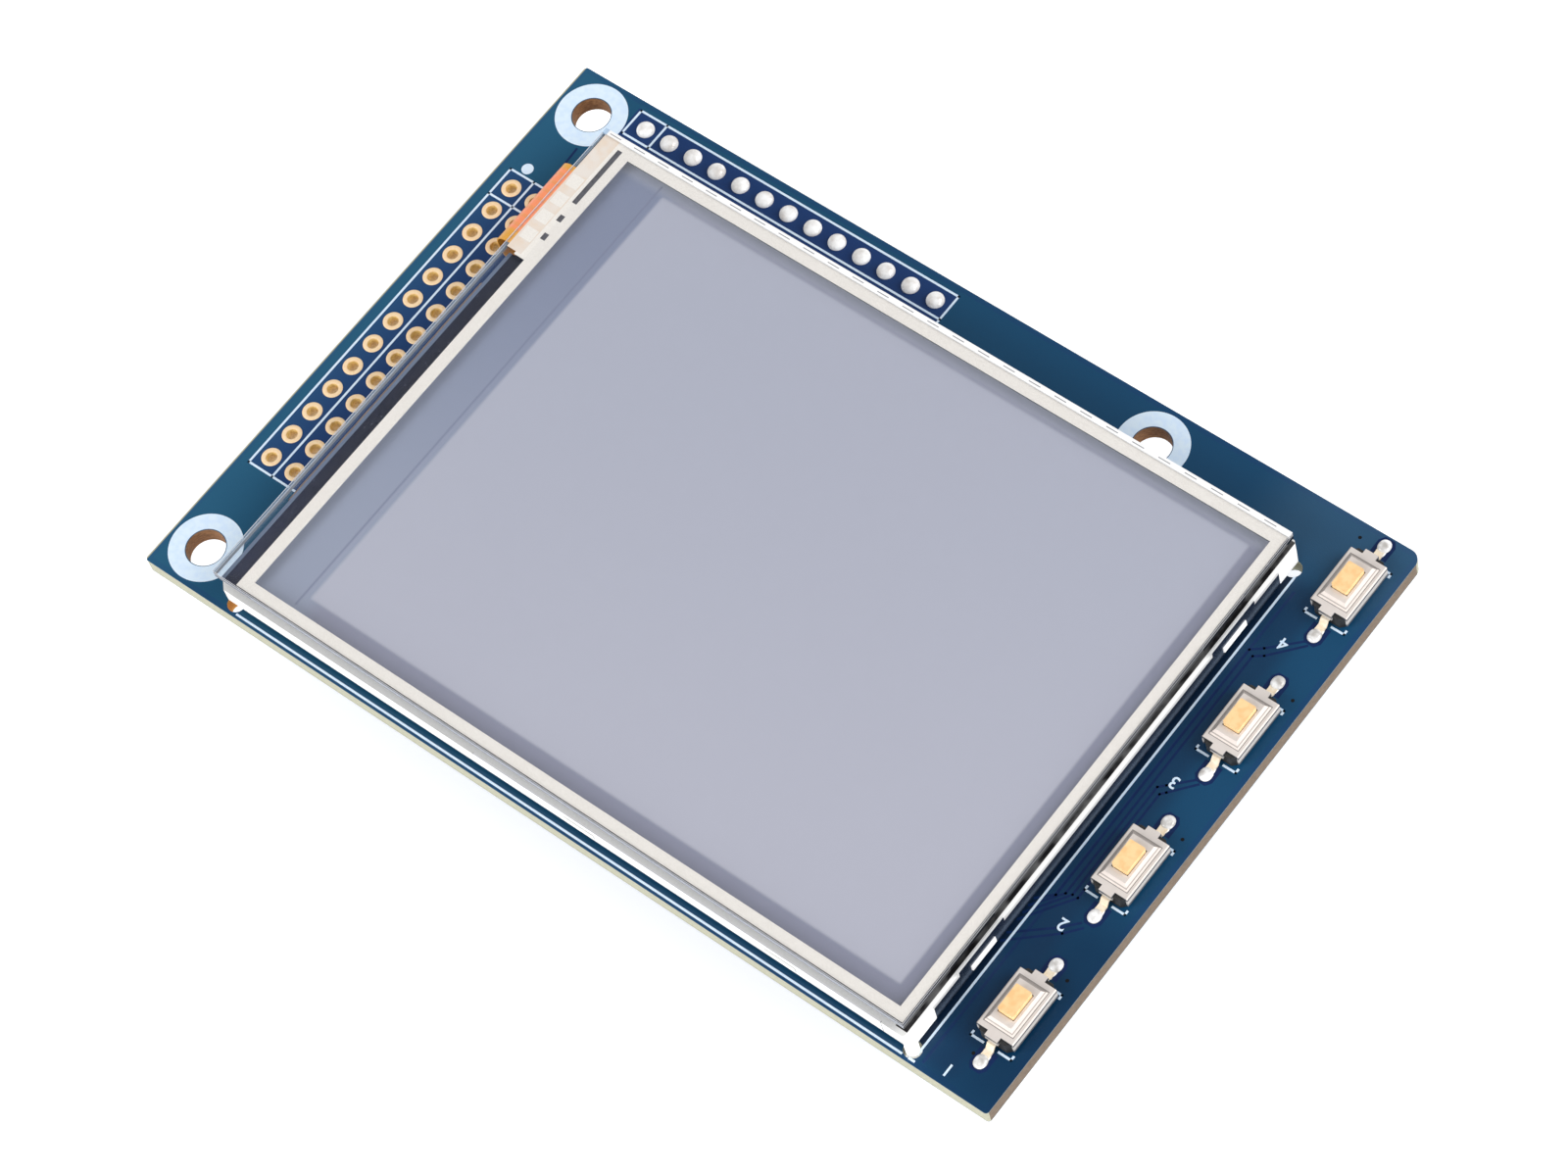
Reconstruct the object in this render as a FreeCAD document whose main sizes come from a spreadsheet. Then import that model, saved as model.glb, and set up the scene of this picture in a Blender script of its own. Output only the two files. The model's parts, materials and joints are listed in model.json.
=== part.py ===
import FreeCAD, Part
import Sketcher
import os
import re

# Small display board: a printed circuit board in the size of a single-board-computer
# add-on card. It carries a 2.8 inch class colour panel under a resistive touch panel,
# four tactile keys, a 2 x 13 socket on the back and a 2 x 13 field of plated holes.
#
# Frame: X runs along the long side of the board, Y along the short side, Z out of the
# display. The origin lies under the middle of the board, in the plane of the socket's mouth.
# Heights of what sits on the front are counted from the board's top face.

doc = FreeCAD.newDocument("display_module")
Vec = FreeCAD.Vector

# Driving dimensions in millimetres
SIZES = [
    ("board_length", 85.0, "board, long side"),
    ("board_width", 56.0, "board, short side"),
    ("board_thickness", 1.6, "laminate thickness"),
    ("board_round", 1.0, "radius of the one rounded corner, by the last key"),
    ("board_break", 0.3, "radius of the other three corners"),
    ("mount_hole", 3.3, "mounting hole diameter"),
    ("mount_inset", 3.5, "mounting hole centre to the board's edges"),
    ("mount_span", 58.0, "spacing of the two holes beside the socket"),
    ("locating_hole", 1.5, "diameter of the holes at the display's corners"),
    ("locating_inset_left", 1.2, "locating hole from the module's left side"),
    ("locating_inset_right", 0.15, "locating holes from the module's right side"),
    ("locating_inset_low", 0.2, "locating holes from the module's lower side"),
    ("locating_inset_high", 1.25, "locating hole from the module's upper side"),
    ("peg_diameter", 1.1, "peg of the frame in one locating hole"),
    ("peg_depth", 1.1, "peg below the board's top face"),
    ("peg_root", 0.4, "peg's overlap with the frame's corner block"),
    ("pin_pitch", 2.54, "pitch of socket and breakout holes"),
    ("pin_columns", 13, "pins in each row"),
    ("pin_hole", 1.0, "drilled hole for one pin"),
    ("socket_first", 8.37, "first socket pin from the board's left edge"),
    ("breakout_x", 3.73, "middle of the breakout holes from the left edge"),
    ("rim_diameter", 1.7, "gold rim of a breakout hole"),
    ("rim_height", 0.05, "height of a gold rim"),
    ("socket_height", 8.5, "socket body below the board"),
    ("socket_width", 5.0, "socket body across its two rows"),
    ("socket_end", 1.45, "socket body past its end pins"),
    ("socket_foot", 0.4, "feet that hold the socket off the board"),
    ("socket_floor", 1.2, "thickness of the socket's mouth wall"),
    ("cavity_length", 1.8, "contact cavity along the row"),
    ("cavity_width", 1.3, "contact cavity across the row"),
    ("entry_side", 0.8, "square entry for a mating pin"),
    ("entry_chamfer", 0.25, "lead-in of the entry"),
    ("tail_side", 0.6, "contact tail, square"),
    ("tine_thickness", 0.2, "leaf of a contact"),
    ("tine_gap", 0.5, "gap between the two leaves at their root"),
    ("tine_length", 5.4, "leaf length"),
    ("tail_above", 0.4, "contact tail above the board, outer row"),
    ("tail_trimmed", 0.2, "contact tail above the board under the display"),
    ("joint_diameter", 1.6, "foot of a solder joint"),
    ("joint_tip", 0.9, "top diameter of a solder joint"),
    ("joint_height", 0.62, "height of a solder joint in the outer row"),
    ("joint_foot", 0.05, "upright edge at the foot of a solder joint"),
    ("joint_low", 0.4, "height of a solder joint under the display"),
    ("display_inset_left", 7.8, "display module from the board's left edge"),
    ("display_inset_right", 7.6, "display module from the board's right edge"),
    ("display_inset_low", 0.85, "display module from the board's lower edge"),
    ("display_inset_high", 5.15, "display module from the board's upper edge"),
    ("tape_thickness", 0.5, "foam tape between board and display"),
    ("tape_width", 5.0, "width of one strip of foam tape"),
    ("tape_inset_left", 7.2, "foam tape from the module's left side"),
    ("tape_inset_right", 4.4, "foam tape from the module's right side"),
    ("tape_inset", 1.4, "foam tape from the module's edge"),
    ("bezel_sheet", 0.15, "sheet thickness of the back bezel"),
    ("bezel_edge", 0.8, "back bezel's floor from the module's left side"),
    ("wall_start", 26.8, "metal side walls begin from the module's left side"),
    ("corner_x", 2.7, "frame's corner block along X"),
    ("corner_y", 3.1, "frame's corner block along Y"),
    ("tongue_length", 5.5, "locking tongue on the short metal wall"),
    ("tongue_rise", 0.6, "locking tongue above the wall"),
    ("tongue_span", 32.0, "distance between the two tongues"),
    ("window_length", 3.0, "window for a hook in the metal wall"),
    ("window_height", 0.75, "window for a hook in the metal wall"),
    ("window_low", 0.35, "window above the bezel's underside"),
    ("side_window_first", 37.4, "first window of a long wall from the left side"),
    ("side_window_pitch", 19.8, "pitch of the windows of a long wall"),
    ("hook_proud", 0.1, "hook past the metal wall"),
    ("fit_gap", 0.05, "clearance of a piece in its recess"),
    ("corner_chamfer", 0.7, "chamfer of the frame's corners"),
    ("frame_wall", 1.0, "frame, from its side to the glass"),
    ("frame_wall_left", 0.35, "the same on the side of the flexes"),
    ("seat_width", 1.2, "step of the frame that carries the glass"),
    ("frame_lip", 0.15, "frame above the glass seat"),
    ("flex_recess", 0.6, "frame's recess for the two flexes"),
    ("flex_recess_length", 40.0, "length of that recess"),
    ("reflector_thickness", 0.1, "reflector under the light guide"),
    ("guide_thickness", 0.7, "light guide"),
    ("film_thickness", 0.1, "diffuser and each prism film"),
    ("film_play", 0.1, "films and light guide within the frame"),
    ("seat_gap", 0.05, "air above the top prism film"),
    ("lamp_depth", 1.1, "light-emitting diode, depth"),
    ("lamp_length", 3.8, "light-emitting diode, length"),
    ("lamp_height", 0.6, "light-emitting diode, height"),
    ("lamp_pitch", 10.5, "pitch of the diodes"),
    ("lamp_count", 4, "number of diodes"),
    ("polariser_thickness", 0.15, "each polariser"),
    ("polariser_margin", 0.4, "front polariser from the glass edge"),
    ("cell_glass", 0.45, "thickness of each of the two display glasses"),
    ("glass_play", 0.15, "display glass within the frame"),
    ("ledge_width", 1.8, "driver ledge beside the upper glass"),
    ("chip_length", 18.0, "driver chip"),
    ("chip_depth", 0.85, "driver chip"),
    ("chip_height", 0.35, "driver chip"),
    ("chip_inset", 0.85, "driver chip from the glass edge"),
    ("ledge_tape_thickness", 0.06, "dark tape over the driver ledge"),
    ("ledge_tape_stop", 13.35, "end of the dark tape from the panel's top edge"),
    ("touch_past", 0.1, "touch panel past the module's left side"),
    ("touch_inset_right", 0.5, "touch panel from the module's right side"),
    ("touch_inset", 0.3, "touch panel from the module's long sides"),
    ("touch_gap", 0.1, "air between polariser and touch panel"),
    ("glue_width", 0.35, "adhesive frame from its inner edge to the glass edge"),
    ("glue_margin", 0.15, "adhesive frame from the touch panel's edges"),
    ("glue_margin_left", 0.45, "adhesive frame from the touch panel's left edge"),
    ("touch_glass_thickness", 0.65, "lower glass of the touch panel"),
    ("border_thickness", 0.1, "cream border layer"),
    ("touch_film_thickness", 0.15, "upper film of the touch panel"),
    ("border_margin", 0.15, "border layer from the panel's edges"),
    ("border_margin_high", 0.5, "border layer from the panel's top edge"),
    ("border_right", 1.05, "panel's right edge to the window"),
    ("border_top", 1.5, "panel's top edge to the window"),
    ("border_bottom", 1.1, "panel's bottom edge to the window"),
    ("border_left", 3.47, "panel's left edge to the window"),
    ("border_strip", 1.1, "width of the border beside the clear margin"),
    ("tail_block_width", 1.1, "border widened where the touch flex is bonded"),
    ("tail_block_length", 13.0, "length of that widening"),
    ("slot_width", 0.45, "dark slot in the widening"),
    ("slot_length", 6.0, "long dark slot"),
    ("slot_short", 0.66, "short dark slots"),
    ("slot_first", 0.6, "first slot from the border's top edge"),
    ("slot_pitch", 1.4, "from a slot's start to the next, past its length"),
    ("touch_flex_thickness", 0.1, "orange flex of the touch panel"),
    ("touch_flex_width", 8.6, "orange flex of the touch panel"),
    ("touch_flex_inset", 8.6, "middle of the orange flex from the panel's top edge"),
    ("touch_flex_bulge", 1.4, "orange flex past the panel's edge"),
    ("touch_flex_seat", 1.1, "orange flex inside the panel's edge"),
    ("touch_flex_low", 0.15, "underside of the folded flex above the board"),
    ("touch_flex_return", 6.0, "folded end of the orange flex"),
    ("display_flex_thickness", 0.12, "display's own flex"),
    ("display_flex_width", 24.0, "display's own flex"),
    ("display_flex_shift", 3.85, "display flex below the module's middle"),
    ("display_flex_bulge", 0.55, "display flex past the module's side"),
    ("display_flex_seat", 0.75, "display flex on the glass ledge"),
    ("display_flex_low", 0.3, "underside of the folded flex above the board"),
    ("display_flex_bend", 0.9, "inner bend radius of the display flex"),
    ("display_flex_return", 12.0, "folded end of the display flex"),
    ("key_inset_x", 2.9, "middle of the keys from the board's right edge"),
    ("key_inset_low", 7.75, "middle of the first key from the lower edge"),
    ("key_inset_high", 5.65, "middle of the last key from the upper edge"),
    ("key_count", 4, "number of keys"),
    ("key_body_length", 6.0, "black base along Y"),
    ("key_body_width", 3.1, "black base along X"),
    ("key_body_height", 1.3, "black base"),
    ("key_body_chamfer", 0.4, "corners of the black base"),
    ("key_well_length", 3.6, "well for the spring disc"),
    ("key_well_width", 2.6, "well for the spring disc"),
    ("key_well_floor", 0.8, "floor of the well above the board"),
    ("key_cover_length", 5.4, "steel cover"),
    ("key_cover_sheet", 0.15, "steel cover's sheet"),
    ("key_cover_play", 0.02, "steel cover over the base"),
    ("key_cover_low", 0.3, "lower edge of the steel cover"),
    ("key_cover_bend", 0.14, "outer bend radius of the steel cover"),
    ("key_collar_length", 4.4, "raised collar at its foot"),
    ("key_collar_width", 2.7, "raised collar at its foot"),
    ("key_collar_height", 0.5, "raised collar"),
    ("key_collar_inner", 0.165, "collar's foot, outside size less inside size"),
    ("key_collar_slope", 36.0, "slope of the collar's sides, in degrees from upright"),
    ("key_tongue_width", 1.2, "tongue folded over each end of the base"),
    ("key_tongue_drop", 0.6, "length of the folded tongue"),
    ("plunger_length", 2.4, "plunger"),
    ("plunger_width", 1.45, "plunger"),
    ("plunger_round", 0.12, "plunger's upright edges"),
    ("plunger_top", 2.5, "plunger's top above the board"),
    ("plunger_gap", 0.05, "plunger within the collar's opening"),
    ("plunger_flange", 0.08, "plunger's flange past the opening"),
    ("plunger_flange_height", 0.3, "plunger's flange"),
    ("plunger_stem_length", 1.6, "stem that presses the disc"),
    ("plunger_stem_width", 0.9, "stem that presses the disc"),
    ("disc_diameter", 2.4, "spring disc"),
    ("disc_sheet", 0.08, "spring disc"),
    ("disc_crown", 0.9, "flat crown of the spring disc"),
    ("disc_rise", 0.35, "spring disc, free height"),
    ("disc_gap", 0.02, "stem above the spring disc"),
    ("lead_width", 0.7, "key terminal"),
    ("lead_sheet", 0.15, "key terminal"),
    ("lead_exit", 0.55, "terminal's underside where it leaves the base"),
    ("lead_root", 0.6, "terminal inside the base"),
    ("lead_shoulder", 0.25, "level stretch outside the base"),
    ("lead_slope", 0.3, "run of the terminal's slope"),
    ("lead_bend_shift", 0.06, "offset of the bends between the terminal's faces"),
    ("lead_foot", 1.05, "terminal's foot on the board"),
    ("lead_solder", 0.05, "solder under the foot"),
    ("fillet_width", 1.05, "solder on a key's terminal"),
    ("fillet_length", 1.9, "solder on a key's terminal"),
    ("fillet_height", 0.35, "solder on a key's terminal"),
    ("fillet_slope", 28.0, "slope of that solder's sides, in degrees from upright"),
    ("fillet_past", 0.85, "solder past the terminal's foot"),
    ("logic_length", 9.9, "body of a logic chip"),
    ("logic_width", 3.9, "body of a logic chip"),
    ("logic_height", 1.45, "body of a logic chip"),
    ("logic_count", 2, "number of logic chips"),
    ("logic_pitch", 16.0, "distance between the logic chips"),
    ("logic_first_x", -22.0, "first logic chip in X"),
    ("logic_y", 9.0, "row of logic chips in Y"),
    ("logic_leg_pitch", 1.27, "leg pitch of a logic chip"),
    ("logic_legs", 8, "legs on each side of a logic chip"),
    ("touch_chip_length", 5.0, "body of the touch controller"),
    ("touch_chip_width", 4.4, "body of the touch controller"),
    ("touch_chip_height", 0.95, "body of the touch controller"),
    ("touch_chip_x", 27.0, "touch controller in X"),
    ("touch_chip_y", 6.0, "touch controller in Y"),
    ("touch_leg_pitch", 0.65, "leg pitch of the touch controller"),
    ("touch_legs", 8, "legs on each side of the touch controller"),
    ("chip_standoff", 0.1, "chip bodies off the board"),
    ("leg_sheet", 0.15, "thickness of a chip's leg"),
    ("leg_reach", 1.05, "leg past a chip's body"),
    ("leg_foot", 0.5, "foot of a chip's leg"),
    ("logic_leg_width", 0.42, "leg width of a logic chip"),
    ("touch_leg_width", 0.24, "leg width of the touch controller"),
    ("regulator_length", 6.5, "regulator body"),
    ("regulator_width", 3.5, "regulator body"),
    ("regulator_height", 1.6, "regulator body"),
    ("regulator_x", -28.0, "regulator in X"),
    ("regulator_y", -10.0, "regulator in Y"),
    ("regulator_leg_pitch", 2.3, "leg pitch of the regulator"),
    ("regulator_legs", 3, "narrow legs of the regulator"),
    ("regulator_tab", 3.0, "wide tab on the regulator's other side"),
    ("transistor_length", 2.9, "transistor body"),
    ("transistor_width", 1.3, "transistor body"),
    ("transistor_height", 1.0, "transistor body"),
    ("transistor_x", 12.0, "transistor in X"),
    ("transistor_y", -12.0, "transistor in Y"),
    ("transistor_legs", 2, "legs on the transistor's longer side"),
    ("transistor_leg_pitch", 1.9, "leg pitch of the transistor"),
    ("chip_part_length", 1.6, "chip capacitor or resistor"),
    ("chip_part_width", 0.8, "chip capacitor or resistor"),
    ("capacitor_height", 0.8, "chip capacitor"),
    ("resistor_height", 0.45, "chip resistor"),
    ("capacitor_count", 6, "chip capacitors in their row"),
    ("capacitor_pitch", 7.5, "distance between chip capacitors"),
    ("capacitor_x", -24.0, "first chip capacitor in X"),
    ("capacitor_y", 2.0, "row of chip capacitors in Y"),
    ("resistor_count", 8, "chip resistors in their row"),
    ("resistor_pitch", 2.6, "distance between chip resistors"),
    ("resistor_x", -12.0, "first chip resistor in X"),
    ("resistor_y", -8.0, "row of chip resistors in Y"),
]

# Sides of the polygons that stand for small circles repeated 26 times
ROUND_SIDES = 8
HIDDEN_SIDES = 6

# Places that follow from the sizes, written as formulas
PLACES = {
    "left": "(-board_length / 2)",
    "right": "(board_length / 2)",
    "top_edge": "(board_width / 2)",
    "board_top": "(socket_height + board_thickness)",
    "socket_y": "(top_edge - mount_inset)",
    "socket_x": "(left + socket_first)",
    "module_left": "(left + display_inset_left)",
    "module_right": "(right - display_inset_right)",
    "module_low": "(display_inset_low - top_edge)",
    "module_high": "(top_edge - display_inset_high)",
    "display_y": "((module_low + module_high) / 2)",
    "locating_right": "(module_right - locating_inset_right)",
    "locating_low": "(module_low + locating_inset_low)",
    "bezel_z": "(board_top + tape_thickness)",
    "floor_z": "(bezel_z + bezel_sheet)",
    "guide_z": "(floor_z + reflector_thickness)",
    "diffuser_z": "(guide_z + guide_thickness)",
    "rear_polariser_z": "(diffuser_z + 3 * film_thickness + seat_gap)",
    "seat_z": "(rear_polariser_z + polariser_thickness)",
    "frame_top": "(seat_z + frame_lip)",
    "upper_glass_z": "(seat_z + cell_glass)",
    "upper_glass_top": "(upper_glass_z + cell_glass)",
    "front_polariser_top": "(upper_glass_top + polariser_thickness)",
    "touch_z": "(front_polariser_top + touch_gap)",
    "border_z": "(touch_z + touch_glass_thickness)",
    "film_z": "(border_z + border_thickness)",
    "cell_left": "(module_left + frame_wall_left + glass_play)",
    "cell_right": "(module_right - frame_wall - glass_play)",
    "cell_low": "(module_low + frame_wall + glass_play)",
    "cell_high": "(module_high - frame_wall - glass_play)",
    "upper_left": "(cell_left + ledge_width)",
    "light_left": "(module_left + frame_wall + seat_width)",
    "light_right": "(module_right - frame_wall - seat_width)",
    "light_low": "(module_low + frame_wall + seat_width)",
    "light_high": "(module_high - frame_wall - seat_width)",
    "guide_left": "(light_left + lamp_depth + 2 * film_play)",
    "touch_left": "(module_left - touch_past)",
    "touch_right": "(module_right - touch_inset_right)",
    "touch_low": "(module_low + touch_inset)",
    "touch_high": "(module_high - touch_inset)",
    "touch_flex_y": "(touch_high - touch_flex_inset)",
    "display_flex_y": "(display_y - display_flex_shift)",
    "ledge_tape_top": "(touch_high - ledge_tape_stop)",
    "key_x": "(right - key_inset_x)",
    "key_first_y": "(key_inset_low - top_edge)",
    "key_pitch": "((board_width - key_inset_low - key_inset_high) / (key_count - 1))",
    "key_cover_width": "(key_body_width + 2 * key_cover_play + 2 * key_cover_sheet)",
    "key_cover_top": "(key_body_height + key_cover_play + key_cover_sheet)",
    "collar_top": "(key_cover_top + key_collar_height)",
    "plunger_shoulder": "(collar_top - key_cover_sheet - plunger_gap)",
    "opening_length": "(plunger_length + 2 * plunger_gap)",
    "opening_width": "(plunger_width + 2 * plunger_gap)",
    "lead_end": "(key_body_length / 2 + lead_shoulder + lead_slope + lead_foot)",
}

sheet = doc.addObject("Spreadsheet::Sheet", "Sizes")
for row, (alias, size, meaning) in enumerate(SIZES, start=1):
    sheet.set(f"A{row}", meaning)
    sheet.set(f"B{row}", str(size))
    sheet.setAlias(f"B{row}", alias)
doc.recompute()
ALIASES = {alias for alias, size, meaning in SIZES}
SUB_PARTS = []


def formula(text):
    """Write a formula of size and place names as an expression on the sheet."""
    def expand(match):
        word = match.group(0)
        if word in PLACES:
            return formula(PLACES[word])
        return f"Sizes.{word}" if word in ALIASES else word
    return re.sub(r"[a-z_]+", expand, str(text))


def bind(thing, name, text):
    thing.setExpression(name, formula(text))


def keep(thing, node):
    thing.Label = node
    SUB_PARTS.append(thing)
    return thing


def plate(node, x0, y0, z0, x1, y1, height):
    """A plain rectangular sheet or block as a box between two corners."""
    box = doc.addObject("Part::Box", node)
    place_box(box, x0, y0, z0, x1, y1, height)
    return keep(box, node)


def place_box(box, x0, y0, z0, x1, y1, height):
    bind(box, "Length", f"({x1}) - ({x0})")
    bind(box, "Width", f"({y1}) - ({y0})")
    bind(box, "Height", height)
    bind(box, ".Placement.Base.x", x0)
    bind(box, ".Placement.Base.y", y0)
    bind(box, ".Placement.Base.z", z0)


def new_body(node, x="0", y="0", z="0"):
    """A body for one node, standing at a place that follows from the sizes."""
    body = doc.addObject("PartDesign::Body", node)
    body.AllowCompound = True
    for axis, text in (("x", x), ("y", y), ("z", z)):
        bind(body, f".Placement.Base.{axis}", text)
    return keep(body, node)


def origin_item(body, role):
    return next(item for item in body.Origin.OriginFeatures if item.Role == role)


def new_sketch(body, name, plane="XY_Plane", height=None):
    sketch = body.newObject("Sketcher::SketchObject", name)
    sketch.AttachmentSupport = [(origin_item(body, plane), "")]
    sketch.MapMode = "FlatFace"
    if height is not None:
        bind(sketch, ".AttachmentOffset.Base.z", height)
    return sketch


def pin_point(sketch, geometry, point, x, y):
    """Fix one point of a sketch by two formulas."""
    for kind, text in (("DistanceX", x), ("DistanceY", y)):
        index = sketch.addConstraint(
            Sketcher.Constraint(kind, -1, 1, geometry, point, 0.1))
        bind(sketch, f"Constraints[{index}]", text)


def outline(sketch, points):
    """A closed outline of straight lines through points given as formulas."""
    first = sketch.GeometryCount
    count = len(points)
    start = [Vec(index, (index * index) % 7, 0) for index in range(count)]
    for index in range(count):
        line = Part.LineSegment(start[index], start[(index + 1) % count])
        sketch.addGeometry(line)
    for index in range(count):
        following = first + (index + 1) % count
        sketch.addConstraint(
            Sketcher.Constraint("Coincident", first + index, 2, following, 1))
    for index, (x, y) in enumerate(points):
        pin_point(sketch, first + index, 1, x, y)


def rectangle(sketch, x0, y0, x1, y1):
    outline(sketch, [(x0, y0), (x1, y0), (x1, y1), (x0, y1)])


def middle_rectangle(sketch, length, width, x="0", y="0"):
    rectangle(sketch, f"{x} - ({length}) / 2", f"{y} - ({width}) / 2",
              f"{x} + ({length}) / 2", f"{y} + ({width}) / 2")


def polygon(sketch, x, y, diameter, sides):
    """A regular polygon about a circle, for small round forms that repeat many times."""
    points = []
    for corner in range(sides):
        turn = f"({360 / sides} * {corner + 0.5})"
        reach = f"({diameter}) / 2 / cos({180 / sides})"
        points.append((f"{x} + {reach} * cos({turn})", f"{y} + {reach} * sin({turn})"))
    outline(sketch, points)


def circle(sketch, x, y, diameter):
    index = sketch.addGeometry(Part.Circle(Vec(0, 0, 0), Vec(0, 0, 1), 1.0))
    pin_point(sketch, index, 3, x, y)
    size = sketch.addConstraint(Sketcher.Constraint("Diameter", index, 2.0))
    bind(sketch, f"Constraints[{size}]", diameter)


def pad(body, sketch, height, middle=False):
    feature = body.newObject("PartDesign::Pad", sketch.Name + "_pad")
    feature.Profile = sketch
    if middle:
        feature.SideType = "Symmetric"
    bind(feature, "Length", height)
    body.Tip = feature
    return feature


def pocket_through(body, sketch):
    """Cut the sketch through all of the body, both ways."""
    feature = body.newObject("PartDesign::Pocket", sketch.Name + "_cut")
    feature.Profile = sketch
    feature.Type = "ThroughAll"
    feature.SideType = "Symmetric"
    body.Tip = feature
    return feature


def block(body, name, x0, y0, z0, x1, y1, height, cut=False):
    """Add or take away a box between two corners, within a body."""
    kind = "PartDesign::SubtractiveBox" if cut else "PartDesign::AdditiveBox"
    box = body.newObject(kind, name)
    place_box(box, x0, y0, z0, x1, y1, height)
    body.Tip = box
    return box


def pattern(body, originals, axis, pitch, count, name):
    """Repeat features of a body along one of its axes."""
    feature = body.newObject("PartDesign::LinearPattern", name)
    feature.Originals = originals
    feature.Direction = (origin_item(body, axis), [""])
    feature.Mode = "Spacing"
    bind(feature, "Offset", pitch)
    bind(feature, "Occurrences", count)
    body.Tip = feature
    return feature


def pattern_all(body, axis, pitch, count, name):
    """Repeat the whole of a body along one of its axes, as separate solids."""
    doc.recompute()
    feature = pattern(body, [], axis, pitch, count, name)
    feature.TransformMode = "Whole shape"
    return feature


def mirror(body, originals, plane, name):
    """Mirror some features of a body, or the whole of it when none is named."""
    doc.recompute()
    feature = body.newObject("PartDesign::Mirrored", name)
    feature.Originals = originals
    feature.MirrorPlane = (origin_item(body, plane), [""])
    if not originals:
        feature.TransformMode = "Whole shape"
    body.Tip = feature
    return feature


def edges_where(feature, test):
    """Names of the edges whose middle and direction pass the test."""
    doc.recompute()
    names = []
    for index, edge in enumerate(feature.Shape.Edges, start=1):
        ends = [vertex.Point for vertex in edge.Vertexes]
        if len(ends) == 2 and test(edge.CenterOfMass, ends[1] - ends[0]):
            names.append(f"Edge{index}")
    return names


def round_edges(body, base, names, radius, label):
    feature = body.newObject("PartDesign::Fillet", label)
    feature.Base = (base, names)
    bind(feature, "Radius", radius)
    body.Tip = feature
    return feature


def cut_corners(body, base, names, size, label):
    feature = body.newObject("PartDesign::Chamfer", label)
    feature.Base = (base, names)
    bind(feature, "Size", size)
    body.Tip = feature
    return feature


def slope_sides(body, solid, label, drop, inset):
    """Slope the sides of an upright block: in by one size at its top, over a drop."""
    doc.recompute()
    before = solid.BaseFeature.Shape.Solids if solid.BaseFeature else []
    old = [other.CenterOfMass for other in before]
    box = next(new.BoundBox for new in solid.Shape.Solids
               if all(new.CenterOfMass.distanceToPoint(place) > 1e-6 for place in old))
    top = box.ZMax

    def on_top_rim(mid, run):
        return abs(mid.z - top) < 1e-6 and box.isInside(mid)

    feature = body.newObject("PartDesign::Chamfer", label)
    feature.Base = (solid, edges_where(solid, on_top_rim))
    feature.ChamferType = "Two distances"
    feature.FlipDirection = True
    bind(feature, "Size", inset)
    bind(feature, "Size2", drop)
    body.Tip = feature
    return feature


def upright(direction):
    return abs(direction.x) < 1e-6 and abs(direction.y) < 1e-6


# Printed circuit board
def make_board():
    body = new_body("circuit_board", z="socket_height")
    sketch = new_sketch(body, "board_outline")
    middle_rectangle(sketch, "board_length", "board_width")
    slab = pad(body, sketch, "board_thickness")
    rounded = edges_where(slab, lambda mid, run: upright(run) and mid.x > 0 and mid.y > 0)
    slab = round_edges(body, slab, rounded, "board_round", "board_rounded_corner")
    broken = edges_where(
        slab, lambda mid, run: upright(run) and (mid.x < 0 or mid.y < 0))
    round_edges(body, slab, broken, "board_break", "board_corners")
    sketch = new_sketch(body, "board_fixing_holes")
    near = "left + mount_inset"
    circle(sketch, near, "top_edge - mount_inset", "mount_hole")
    circle(sketch, near, "mount_inset - top_edge", "mount_hole")
    circle(sketch, near + " + mount_span", "top_edge - mount_inset", "mount_hole")
    for x, y in (("module_left + locating_inset_left", "locating_low"),
                 ("locating_right", "locating_low"),
                 ("locating_right", "module_high - locating_inset_high")):
        polygon(sketch, x, y, "locating_hole", 2 * ROUND_SIDES)
    pocket_through(body, sketch)
    sketch = new_sketch(body, "board_socket_holes")
    polygon(sketch, "socket_x", "socket_y + pin_pitch / 2", "pin_hole", HIDDEN_SIDES)
    polygon(sketch, "socket_x", "socket_y - pin_pitch / 2", "pin_hole", HIDDEN_SIDES)
    drilled = pocket_through(body, sketch)
    pattern(body, [drilled], "X_Axis", "pin_pitch", "pin_columns", "socket_hole_rows")
    sketch = new_sketch(body, "board_breakout_holes")
    first = "-pin_pitch * (pin_columns - 1) / 2"
    for side in ("-", "+"):
        polygon(sketch, f"left + breakout_x {side} pin_pitch / 2", first, "pin_hole",
                ROUND_SIDES)
    drilled = pocket_through(body, sketch)
    pattern(body, [drilled], "Y_Axis", "pin_pitch", "pin_columns", "breakout_hole_rows")


def make_breakout_rims():
    body = new_body("breakout_rims", x="left + breakout_x",
                    y="-pin_pitch * (pin_columns - 1) / 2", z="board_top")
    sketch = new_sketch(body, "rim_pair")
    for side in ("-", "+"):
        for diameter in ("rim_diameter", "pin_hole"):
            polygon(sketch, f"{side}pin_pitch / 2", "0", diameter, ROUND_SIDES)
    pair = pad(body, sketch, "rim_height")
    pattern(body, [pair], "Y_Axis", "pin_pitch", "pin_columns", "rim_rows")


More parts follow.
